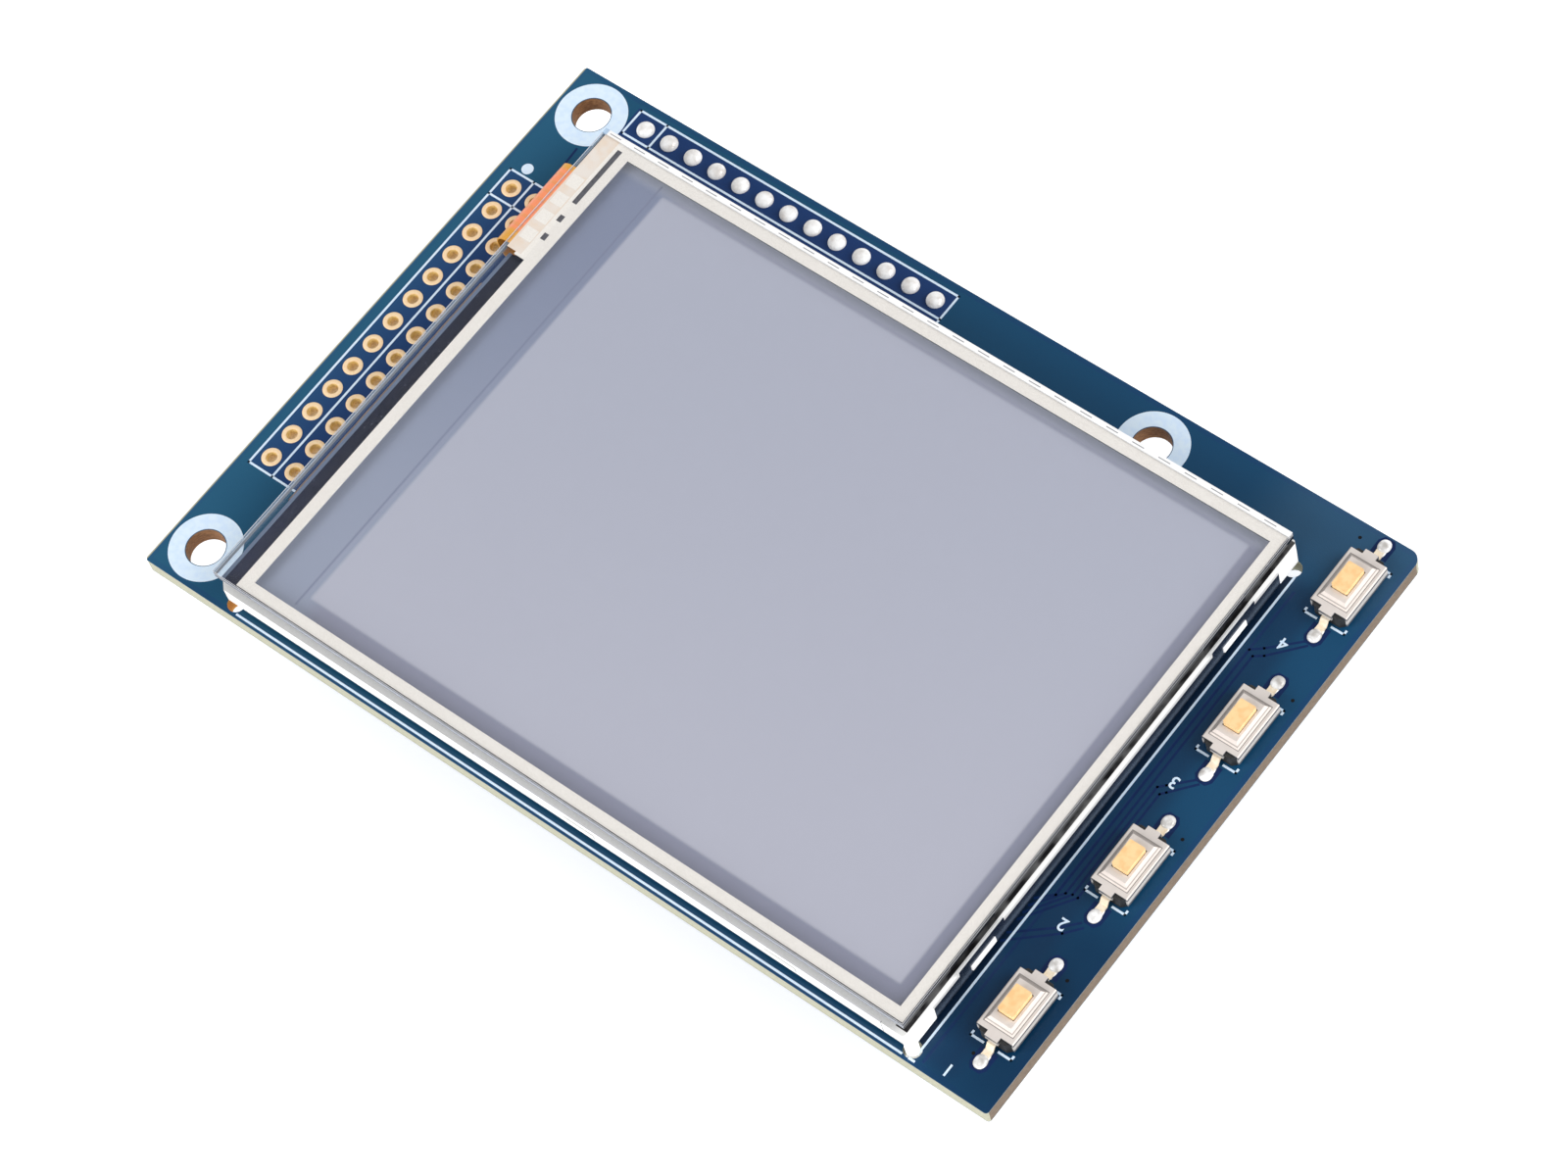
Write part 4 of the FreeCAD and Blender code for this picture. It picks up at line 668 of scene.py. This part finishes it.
def add_turned(vertices, faces, x, y, profile, sides):
    """Turn a profile of (radius, height) pairs; a radius of 0 becomes a single pole."""
    rows = []
    for radius, z in profile:
        start = len(vertices)
        if radius == 0:
            vertices.append((x, y, z))
            rows.append([start] * sides)
            continue
        for step in range(sides):
            turn = 2 * math.pi * step / sides
            vertices.append((x + radius * math.cos(turn), y + radius * math.sin(turn), z))
        rows.append([start + step for step in range(sides)])
    for below, above in zip(rows, rows[1:]):
        for step in range(sides):
            following = (step + 1) % sides
            corners = [below[step], below[following], above[following], above[step]]
            corners = list(dict.fromkeys(corners))
            if len(corners) > 2:
                faces.append(tuple(corners))


def smooth(made, angle=40.0):
    """Shade round stretches smoothly and keep sharp edges sharp."""
    mesh = made.data
    shape = bmesh.new()
    shape.from_mesh(mesh)
    for face in shape.faces:
        face.smooth = True
    for edge in shape.edges:
        if len(edge.link_faces) == 2 and edge.calc_face_angle() > math.radians(angle):
            edge.smooth = False
    shape.to_mesh(mesh)
    shape.free()
    return made


print("piece helpers ready")

# %% [markdown]
# ## The same shape many times
# Twenty-six rims and twenty-six solder joints are copies on a grid. Geometry Nodes make a grid
# of points from named sizes, put the shape on each point and turn the result into real mesh.
# The object that carried the tree is then replaced by that plain mesh.


# %% Build a grid of copies with Geometry Nodes
def grid_tree(name, source):
    tree = bpy.data.node_groups.new(name, "GeometryNodeTree")
    for label, kind in (("Columns", "NodeSocketInt"), ("Rows", "NodeSocketInt"),
                        ("Pitch X", "NodeSocketFloat"), ("Pitch Y", "NodeSocketFloat"),
                        ("Corner", "NodeSocketVector")):
        tree.interface.new_socket(label, in_out="INPUT", socket_type=kind)
    tree.interface.new_socket("Geometry", in_out="OUTPUT", socket_type="NodeSocketGeometry")
    entry = tree.nodes.new("NodeGroupInput")

    def given(label):
        return Wire(tree, entry.outputs[label])

    columns, rows = given("Columns"), given("Rows")
    length = (columns - 1) * given("Pitch X")
    width = (rows - 1) * given("Pitch Y")
    points = add(tree, "GeometryNodeMeshGrid", None,
                 {"Size X": length, "Size Y": width, "Vertices X": columns,
                  "Vertices Y": rows})
    half = add(tree, "ShaderNodeCombineXYZ", None, {0: length * 0.5, 1: width * 0.5})
    shift = add(tree, "ShaderNodeVectorMath", {"operation": "ADD"},
                {0: half, 1: given("Corner")})
    placed = add(tree, "GeometryNodeSetPosition", None, {"Geometry": points, "Offset": shift})
    shape = add(tree, "GeometryNodeObjectInfo", None, {"Object": source}, output=4)
    copies = add(tree, "GeometryNodeInstanceOnPoints", None,
                 {"Points": placed, "Instance": shape})
    real = add(tree, "GeometryNodeRealizeInstances", None, {"Geometry": copies})
    leave = tree.nodes.new("NodeGroupOutput")
    tree.links.new(real.socket, leave.inputs["Geometry"])
    return tree


def repeated(name, vertices, faces, material, columns, rows, step_x, step_y, corner):
    """Copies of a small mesh on a grid, as one plain piece that rides on the module."""
    source_mesh = bpy.data.meshes.new(name + "_one")
    source_mesh.from_pydata([[value * MM for value in point] for point in vertices], [],
                            faces)
    source = show(name + "_one", source_mesh)
    carrier = show(name + "_grid", bpy.data.meshes.new(name + "_grid"))
    tree = grid_tree(name + "_tree", source)
    modifier = carrier.modifiers.new("grid", "NODES")
    modifier.node_group = tree
    values = {"Columns": columns, "Rows": rows, "Pitch X": step_x * MM,
              "Pitch Y": step_y * MM, "Corner": [value * MM for value in corner]}
    for item in tree.interface.items_tree:
        if item.item_type == "SOCKET" and item.in_out == "INPUT":
            modifier[item.identifier] = values[item.name]
    graph = bpy.context.evaluated_depsgraph_get()
    mesh = bpy.data.meshes.new_from_object(carrier.evaluated_get(graph))
    mesh.name = name
    mesh.materials.clear()
    mesh.materials.append(material)
    made = show(name, mesh)
    bpy.data.objects.remove(carrier)
    bpy.data.objects.remove(source)
    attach(made, "module")
    return made


print("grid tree ready")

# %% [markdown]
# ## Gold rims with their bores
# A plated hole is a short tube with a flat collar on each side of the board. The profile is
# turned once and copied on the grid of 2 by 13 holes. The tube's inside goes in a darker gold,
# because it lies in its own shade.

# %% Copy the plated holes onto the board
RIM = [(0.84, 0.0), (0.85, 0.03), (0.82, 0.05), (0.56, 0.055), (0.5, 0.045), (0.47, 0.0),
       (0.47, -1.6), (0.5, -1.645), (0.56, -1.655), (0.82, -1.65), (0.85, -1.63), (0.84, -1.6)]
TUBE_HEIGHT = 1.0
vertices, faces = [], []
add_turned(vertices, faces, 0, 0, RIM, 28)
plated_rims = repeated("plated_rims", vertices, faces, gold, 2, COLUMNS, PITCH, PITCH,
                       (BREAKOUT_X - PITCH / 2, -PITCH * (COLUMNS - 1) / 2, BOARD_TOP))
plated_rims.data.materials.append(bore_gold)
for face in plated_rims.data.polygons:
    low = min(plated_rims.data.vertices[index].co.z for index in face.vertices)
    high = max(plated_rims.data.vertices[index].co.z for index in face.vertices)
    face.material_index = 1 if high - low > TUBE_HEIGHT * MM else 0
smooth(plated_rims)
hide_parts("breakout_rims")
print("rims:", len(plated_rims.data.polygons), "faces")

# %% [markdown]
# ## Solder joints
# Solder climbs the square tail of a contact and sets over it as a cone with a rounded top. The
# inner row was trimmed short, because the display lies over it.

# %% Copy the solder joints
JOINT = [(0.74, 0.0), (0.78, 0.1), (0.77, 0.3), (0.7, 0.55), (0.56, 0.77), (0.36, 0.92),
         (0.16, 0.99), (0.0, 1.0)]
for label, y, height in (("outer", SOCKET_Y + PITCH / 2, 0.62),
                         ("inner", SOCKET_Y - PITCH / 2, 0.4)):
    vertices, faces = [], []
    add_turned(vertices, faces, 0, 0, [(radius, level * height) for radius, level in JOINT], 24)
    joints = repeated(f"{label}_solder_cones", vertices, faces, solder,
                      COLUMNS, 1, PITCH, 0.0, (SOCKET_FIRST_X, y, BOARD_TOP))
    smooth(joints)
    if label == "outer":
        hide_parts("solder_joints")
print("solder joints ready")

# %% [markdown]
# ## Printed lines
# The white print on the board is a lacquer a few hundredths of a millimetre thick. Each line is
# a thin bar on the mask, which keeps it sharp at any distance. The list gives the two ends of
# each straight line, and each key gets a pair of short brackets at both ends.

# %% Print the straight lines
SILK_WIDTH = 0.19
SILK_THICK = 0.02
SILK_SINK = 0.005
SILK_LOW, SILK_TOP = BOARD_TOP - SILK_SINK, BOARD_TOP + SILK_THICK
LINES = [
    (-35.7, 27.1, -2.3, 27.1), (-35.7, 24.55, -2.3, 24.55), (-35.7, 27.1, -35.7, 24.55),
    (-32.9, 27.1, -32.9, 24.55), (-2.3, 27.1, -2.3, 22.6),
    (-41.33, 16.7, -36.4, 16.7), (-41.33, 16.7, -41.33, -16.58), (-38.8, 16.7, -38.8, -16.58),
    (-41.33, 13.87, -36.4, 13.87), (-41.33, -16.58, -36.4, -16.58),
    (35.3, 21.0, 35.3, -27.0), (-32.8, -27.67, 34.2, -27.67), (35.0, -27.67, 35.4, -27.67),
]
BRACKET_X, BRACKET_Y, BRACKET_GAP, BRACKET_LEG = 1.875, 3.15, 0.75, 0.3
for key_y in KEY_YS:
    left, right = KEY_X - BRACKET_X, KEY_X + BRACKET_X
    for y, leg in ((key_y - BRACKET_Y, BRACKET_LEG), (key_y + BRACKET_Y, -BRACKET_LEG)):
        LINES += [(left, y, KEY_X - BRACKET_GAP, y), (KEY_X + BRACKET_GAP, y, right, y),
                  (left, y, left, y + leg), (right, y, right, y + leg)]
vertices, faces = [], []
for x0, y0, x1, y1 in LINES:
    half = SILK_WIDTH / 2
    add_bar(vertices, faces, min(x0, x1) - half, min(y0, y1) - half,
            max(x0, x1) + half, max(y0, y1) + half, SILK_LOW, SILK_TOP)
piece("printed_lines", vertices, faces, silk_ink)
print("printed lines:", len(LINES))

# %% [markdown]
# ## Printed rings and the first-pin dot
# Each mounting hole has a broad white ring, so that a screw head doesn't bite the blue mask. A
# ring is the same turned profile as a rim, only flat and wide.

# %% Print the rings and the dot
RING_OUT, RING_IN = 3.1, 1.72
FIRST_PIN_DOT = (-40.13, 17.45)
DOT_RADIUS = 0.52
vertices, faces = [], []
for x, y in HOLES:
    add_turned(vertices, faces, x, y,
               [(RING_OUT, SILK_LOW), (RING_OUT, SILK_TOP), (RING_IN, SILK_TOP),
                (RING_IN, SILK_LOW)], 64)
add_turned(vertices, faces, *FIRST_PIN_DOT,
           [(DOT_RADIUS, BOARD_TOP), (DOT_RADIUS, SILK_TOP), (0, SILK_TOP)], 32)
piece("printed_rings", vertices, faces, silk_ink)
print("rings:", len(HOLES))

# %% [markdown]
# ## Numerals beside the keys
# The keys are counted 1 to 4 from the lower end of the board. A text object makes the digits.
# It becomes a mesh first, and is then turned and moved in its mesh, because a finished piece
# sits at the origin unturned.

# %% Print the key numbers
def numeral(text, x, y, size):
    curve = bpy.data.curves.new("digit", "FONT")
    curve.body = text
    curve.size = size * MM
    curve.extrude = SILK_THICK * MM
    curve.offset = 0.015 * MM
    curve.align_x = "CENTER"
    curve.align_y = "CENTER"
    carrier = show("digit", curve)
    graph = bpy.context.evaluated_depsgraph_get()
    mesh = bpy.data.meshes.new_from_object(carrier.evaluated_get(graph))
    bpy.data.objects.remove(carrier)
    for vertex in mesh.vertices:
        turned = Vector((-vertex.co.x, -vertex.co.y, vertex.co.z))
        vertex.co = turned + Vector((x, y, BOARD_TOP)) * MM
    mesh.materials.clear()
    mesh.materials.append(silk_ink)
    made = show(f"numeral_{text}", mesh)
    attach(made, "module")


NUMERAL_X, NUMERAL_DROP, NUMERAL_SIZE = 37.95, 6.35, 1.5
for number, key_y in zip(KEY_NUMBERS, KEY_YS):
    numeral(str(number), NUMERAL_X, key_y - NUMERAL_DROP, NUMERAL_SIZE)
print("numerals:", list(KEY_NUMBERS))

# %% [markdown]
# ## Solder on the key terminals
# The solder on a terminal is two mounds that run into each other: a flat one on the wetted foot
# and a taller drop beyond it. A mound is a box with its edges pulled in by a subdivision
# surface, which gives the wet, rounded look of melted metal.

# %% Shape the solder mounds
def mound(vertices, faces, x, y0, y1, half, height):
    start = len(vertices)
    rows = [(half, 0.0), (half * 0.94, height * 0.45), (half * 0.6, height * 0.92)]
    for reach, z in rows:
        shrink = half - reach
        low, high = min(y0, y1) + shrink, max(y0, y1) - shrink
        vertices += [(x - reach, low, BOARD_TOP + z), (x + reach, low, BOARD_TOP + z),
                     (x + reach, high, BOARD_TOP + z), (x - reach, high, BOARD_TOP + z)]
    for row in range(len(rows) - 1):
        for side in range(4):
            below = start + 4 * row
            faces.append((below + side, below + (side + 1) % 4,
                          below + 4 + (side + 1) % 4, below + 4 + side))
    top = start + 4 * (len(rows) - 1)
    faces.append((top, top + 1, top + 2, top + 3))
    faces.append((start + 3, start + 2, start + 1, start))


# Near end, far end, half width and height of the foot and of the drop
MOUNDS = ((3.5, 4.9, 0.5, 0.17), (3.95, 5.4, 0.64, 0.42))
vertices, faces = [], []
for key_y in KEY_YS:
    for sign in (-1, 1):
        middle = key_y + KEY_SHIFT_Y
        for near, far, half, height in MOUNDS:
            mound(vertices, faces, KEY_MID_X, middle + sign * near,
                  middle + sign * far, half, height)
key_mounds = piece("key_solder_mounds", vertices, faces, key_tin)
rounding = key_mounds.modifiers.new("rounding", "SUBSURF")
rounding.levels = 3
rounding.render_levels = 3
smooth(key_mounds, 180)
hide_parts("key_solder")
print("mounds:", 2 * len(MOUNDS) * len(KEY_YS))

# %% [markdown]
# ## Spring discs that give way
# A key clicks because a domed disc of spring steel snaps flat under its plunger. Each disc is
# turned from its profile, underside first.

# %% Dome the spring discs
DOME_UNDER = [(0, 0.27), (0.2, 0.268), (0.43, 0.25), (0.63, 0.2), (0.83, 0.12), (1.1, 0.0)]
DOME_TOP = [(1.2, 0.0), (1.05, 0.09), (0.85, 0.2), (0.65, 0.28), (0.45, 0.33), (0.2, 0.348),
            (0, 0.35)]
for number in KEY_NUMBERS:
    low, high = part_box(f"key_{number}_disc")
    disc_x, disc_y, disc_foot = (low.x + high.x) / 2, (low.y + high.y) / 2, low.z
    vertices, faces = [], []
    add_turned(vertices, faces, disc_x / MM, disc_y / MM,
               [(radius, disc_foot / MM + z) for radius, z in DOME_UNDER + DOME_TOP], 32)
    disc = smooth(piece(f"key_{number}_dome", vertices, faces, spring_steel))
    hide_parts(f"key_{number}_disc")
    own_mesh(disc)
print("domes:", len(KEY_NUMBERS))

# %% [markdown]
# ## Where the orange flex is bonded
# Under the edge of the panel the flex is covered by cloudy adhesive, so only a trace of orange
# comes through, and four pale bars lie over its tracks. The dark slots of the cream layer are
# filled here too, because they show the black tape below.

# %% Lay the cloudy strip, the bars and the slots
STRIP_X, STRIP_END_Y = (-34.5, -33.0), 22.3
BAR_X, BAR_HALF = (-34.3, -33.1), 0.6
SLOT_X = (-32.66, -32.2)
border_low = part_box("touch_border")[0].z / MM
flex_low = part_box("touch_flex")[0].y / MM
cloudy = plastic("cloudy_adhesive", "f1eae3", "efdcc8", 0.4, 0.8, 0.0)
cloudy.node_tree.nodes["Principled BSDF"].inputs["Alpha"].default_value = 0.86
vertices, faces = [], []
add_bar(vertices, faces, STRIP_X[0], flex_low - 0.35, STRIP_X[1], STRIP_END_Y,
        border_low + 0.102, border_low + 0.106)
piece("bond_strip", vertices, faces, cloudy)
BAR_YS = [17.1 - 1.98 * step for step in range(4)]
vertices, faces = [], []
for y in BAR_YS:
    add_bar(vertices, faces, BAR_X[0], y - BAR_HALF, BAR_X[1], y + BAR_HALF,
            border_low + 0.108, border_low + 0.112)
piece("bonding_bars", vertices, faces, cream_ink)
SLOTS = ((21.45, 6.0), (14.05, 0.66), (11.99, 0.66))
vertices, faces = [], []
for top, length in SLOTS:
    add_bar(vertices, faces, SLOT_X[0], top - length, SLOT_X[1], top, border_low + 0.07,
            border_low + 0.108)
slot_dark = plastic("slot_grey", "54545b", "3f3f46", 0.4, 3.0, 0.0)
piece("slot_fill", vertices, faces, slot_dark)
print("bars:", len(BAR_YS), "slots:", len(SLOTS))

# %% [markdown]
# ## Tracks and vias beside the keys
# Copper tracks under the mask are seen as thin dark lines, because the ground plane is cut
# away on both sides of each. They start at the keys' terminals, run along the display and turn
# under it. The same gap goes round each soldered pad. Plated vias are tiny holes, drawn as dark
# dots of painted shade.

# %% Draw the tracks and the vias
def add_track(vertices, faces, points, width, height, down=False):
    for (x0, y0), (x1, y1) in zip(points, points[1:]):
        length = math.hypot(x1 - x0, y1 - y0)
        along = ((x1 - x0) / length * width / 2, (y1 - y0) / length * width / 2)
        across = (-along[1], along[0])
        start = len(vertices)
        for sign_a, sign_b in ((-1, -1), (1, -1), (1, 1), (-1, 1)):
            x, y = (x0, y0) if sign_a < 0 else (x1, y1)
            vertices.append((x + sign_a * along[0] + sign_b * across[0],
                             y + sign_a * along[1] + sign_b * across[1], height))
        corners = (start, start + 1, start + 2, start + 3)
        faces.append(corners[::-1] if down else corners)


gap_navy = plastic("mask_over_gap", "0e2a5a", "0c2450", 0.3, 2.0, 0.0)
gap_navy.node_tree.nodes["Principled BSDF"].inputs["Specular IOR Level"].default_value = 0.2
TRACK_WIDTH, TRACK_LIFT, PAD_LIFT, VIA_LIFT = 0.2, 0.004, 0.006, 0.008
vertices, faces = [], []
ROUTES = [
    [(39.33, 17.03), (36.95, 14.72), (36.05, 14.0), (36.05, -10.9), (34.9, -12.0)],
    [(39.58, 16.69), (37.33, 14.19), (36.6, 13.67), (36.6, -10.4), (34.9, -12.7)],
    [(39.33, 2.83), (37.6, 1.1), (37.1, 0.6), (37.1, -10.2), (34.9, -13.4)],
    [(39.58, 2.49), (37.95, 0.6), (37.6, 0.2), (37.6, -10.2), (34.9, -14.1)],
    [(39.02, -11.73), (37.79, -13.02), (34.9, -15.4)],
    [(39.4, -12.0), (38.37, -13.2), (34.9, -16.2)],
    [(-37.9, 21.2), (-37.74, 18.16)],
]
for route in ROUTES:
    add_track(vertices, faces, route, TRACK_WIDTH, BOARD_TOP + TRACK_LIFT)
PAD = [(-0.8, 3.6), (-0.8, 5.0), (-0.45, 5.5), (0.45, 5.5), (0.8, 5.0), (0.8, 3.6)]
for key_y in KEY_YS:
    for sign in (-1, 1):
        middle = key_y + KEY_SHIFT_Y
        start = len(vertices)
        vertices += [(KEY_MID_X + x * sign, middle + y * sign, BOARD_TOP + PAD_LIFT)
                     for x, y in PAD]
        faces.append(tuple(reversed(range(start, start + len(PAD)))))
piece("mask_gaps", vertices, faces, gap_navy)
VIAS = [(41.3, -1.9), (41.4, 12.26), (41.0, -16.07), (37.5, 26.7), (38.7, -24.65)]
VIA_RADIUS, VIA_TOP = 0.15, BOARD_TOP + VIA_LIFT
vertices, faces = [], []
for x, y in VIAS:
    add_turned(vertices, faces, x, y,
               [(VIA_RADIUS, BOARD_TOP), (VIA_RADIUS, VIA_TOP), (0, VIA_TOP)], 16)
# Each dark dot is painted shade standing in for a via's hole.
piece("via_dots", vertices, faces,
      plastic("via_shade", "030508", "010203", 0.95, 2.0, 0.0))
print("routes:", len(ROUTES), "vias:", len(VIAS))

# %% [markdown]
# ## Print and tracks on the back
# The back of a board is printed too: a frame round the socket, a line at each end of a chip, two
# brackets beside every small part and a ring round every hole. The places of three chips are
# read from the boxes of their solids, so that the print can't miss them.

# %% Print the back
BACK_LOW, BACK_SINK = BOARD_LOW - SILK_THICK, BOARD_LOW + SILK_SINK
back_vertices, back_faces = [], []


def back_line(x0, y0, x1, y1):
    half = SILK_WIDTH / 2
    add_bar(back_vertices, back_faces, x0 - half, y0 - half, x1 + half, y1 + half,
            BACK_LOW, BACK_SINK)


def back_frame(x0, y0, x1, y1):
    for y in (y0, y1):
        back_line(x0, y, x1, y)
    for x in (x0, x1):
        back_line(x, y0, x, y1)


MARGIN = 0.3
socket_low, socket_high = (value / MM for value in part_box("socket_housing"))
back_frame(socket_low.x - MARGIN, socket_low.y - MARGIN, socket_high.x + MARGIN,
           socket_high.y + MARGIN)
back_frame(-41.33, -16.58, -36.2, 16.7)
LOGIC_X = (-22.0, -6.0)
ENDS = [(x, 9.0, 5.2, 1.95) for x in LOGIC_X]
for node in ("touch_controller", "regulator", "transistor"):
    low, high = (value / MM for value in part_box(node))
    ENDS.append(((low.x + high.x) / 2, (low.y + high.y) / 2, (high.x - low.x) / 2 + 0.25,
                 (high.y - low.y) / 2))
for x, y, reach, half in ENDS:
    for sign in (-1, 1):
        back_line(x + sign * reach, y - half, x + sign * reach, y + half)
    add_turned(back_vertices, back_faces, x - reach - 0.6, y + half + 0.7,
               [(0, BACK_LOW), (0.3, BACK_LOW), (0.3, BACK_SINK)], 20)
CAPACITOR_XS = [-24.0 + 7.5 * step for step in range(6)]
SMALL = [(x, 2.0) for x in CAPACITOR_XS]
SMALL += [(-12.0 + 2.6 * step, -8.0) for step in range(8)]
SMALL_X, SMALL_Y = 0.75, 0.7
for x, y in SMALL:
    for sign in (-1, 1):
        back_line(x + sign * SMALL_X, y - SMALL_Y, x + sign * SMALL_X, y + SMALL_Y)
for x, y in HOLES:
    add_turned(back_vertices, back_faces, x, y,
               [(RING_IN, BACK_SINK), (RING_IN, BACK_LOW), (RING_OUT, BACK_LOW),
                (RING_OUT, BACK_SINK)], 64)
piece("back_print", back_vertices, back_faces, silk_ink)
BUS_WIDTH = 0.16
vertices, faces = [], []
for step in range(8):
    x = -26.4 + PITCH / 2 * step
    bend = 15.5 + 0.5 * step
    for left in (x, x + 16.0):
        add_track(vertices, faces,
                  [(left, 12.6), (left, bend), (left + 2.2, bend + 2.2), (left + 2.2, 21.6)],
                  BUS_WIDTH, BOARD_LOW - TRACK_LIFT, down=True)
for step, x in enumerate(CAPACITOR_XS):
    bend, low = -1.5 - 0.6 * step, -18.0 - 0.8 * step
    add_track(vertices, faces,
              [(x, 0.6), (x, bend), (x + 3.0, bend - 3.0), (x + 3.0, low), (30.0, low)],
              TRACK_WIDTH, BOARD_LOW - TRACK_LIFT, down=True)
piece("back_mask_gaps", vertices, faces, gap_navy)
print("back print:", len(back_faces), "faces")

# %% [markdown]
# ## The floor
# A product picture has a plain pale ground. The floor glows a little, so that it stays white
# under the object and shows only a soft shadow.

# %% Lay the floor
FLOOR_REACH = 3.0
ground = Finish("studio_floor")
ground.put(base_color=ground.mix(ground.noise(0.01), tint("ffffff"), tint("fbfbfb")),
           roughness=0.9, emission_color=WHITE, emission_strength=0.4)
floor_mesh = bpy.data.meshes.new("studio_floor")
floor_mesh.from_pydata([(x * FLOOR_REACH, y * FLOOR_REACH, 0.0) for x, y in
                        ((-1, -1), (1, -1), (1, 1), (-1, 1))], [], [(0, 1, 2, 3)])
floor_mesh.materials.append(ground.material)
floor = show("studio_floor", floor_mesh)
print("floor at z = 0")

# %% [markdown]
# ## The lamps
# Large square lamps give soft light without hard shadows. Two hang high on opposite sides, and
# two stand low, where they light the walls of the frame and the keys.

# %% Hang the lamps
def soft_lamp(name, place, target, size, power):
    light = bpy.data.lights.new(name, "AREA")
    light.shape = "SQUARE"
    light.size = size
    light.energy = power
    lamp = show(name, light)
    lamp.location = place
    aim = Vector(target) - Vector(place)
    lamp.rotation_euler = aim.to_track_quat("-Z", "Y").to_euler()


LAMPS = [
    ("lamp_back_right", (0.62, 0.36, 0.58), (0, 0, 0), 0.55, 4.2),
    ("lamp_front_left", (-0.42, -0.72, 0.6), (0, 0, 0), 0.55, 4.2),
    ("lamp_low_front", (0.25, -0.9, 0.22), (0, 0, 0.01), 0.5, 3.6),
    ("lamp_low_right", (0.95, -0.15, 0.22), (0, 0, 0.01), 0.4, 1.8),
]
for lamp_values in LAMPS:
    soft_lamp(*lamp_values)
world = bpy.data.worlds.new("pale_room")
world.use_nodes = True
world.node_tree.nodes["Background"].inputs["Color"].default_value = WHITE
world.node_tree.nodes["Background"].inputs["Strength"].default_value = 0.5
bpy.context.scene.world = world
bpy.context.scene.view_settings.view_transform = "Standard"
print("lamps:", len(LAMPS))

# %% [markdown]
# ## The camera
# The camera stands where the photographer's did. Its place was worked out from the board's
# straight edges and holes, and the lens and shift reproduce the photograph's framing.

# %% Place the camera
PHOTO_WIDTH, PHOTO_HEIGHT = 1600, 1200
SENSOR_WIDTH = 36.0
FOCAL_PIXELS = 5251.31
CENTRE_PIXELS = (1090.54, 471.50)
CAMERA_PLACE = Vector((167.55, -119.10, 358.51)) * MM
CAMERA_TURN = [math.radians(angle) for angle in (30.0543, 6.4631, 36.8138)]
camera_data = bpy.data.cameras.new("studio_camera")
camera_data.sensor_width = SENSOR_WIDTH
camera_data.lens = FOCAL_PIXELS / PHOTO_WIDTH * SENSOR_WIDTH
camera_data.shift_x = (PHOTO_WIDTH / 2 - CENTRE_PIXELS[0]) / PHOTO_WIDTH
camera_data.shift_y = (CENTRE_PIXELS[1] - PHOTO_HEIGHT / 2) / PHOTO_WIDTH
camera_data.clip_start = 0.01
camera = show("studio_camera", camera_data)
camera.location = CAMERA_PLACE
camera.rotation_euler = CAMERA_TURN
bpy.context.scene.camera = camera
print("lens", round(camera_data.lens, 2), "mm")
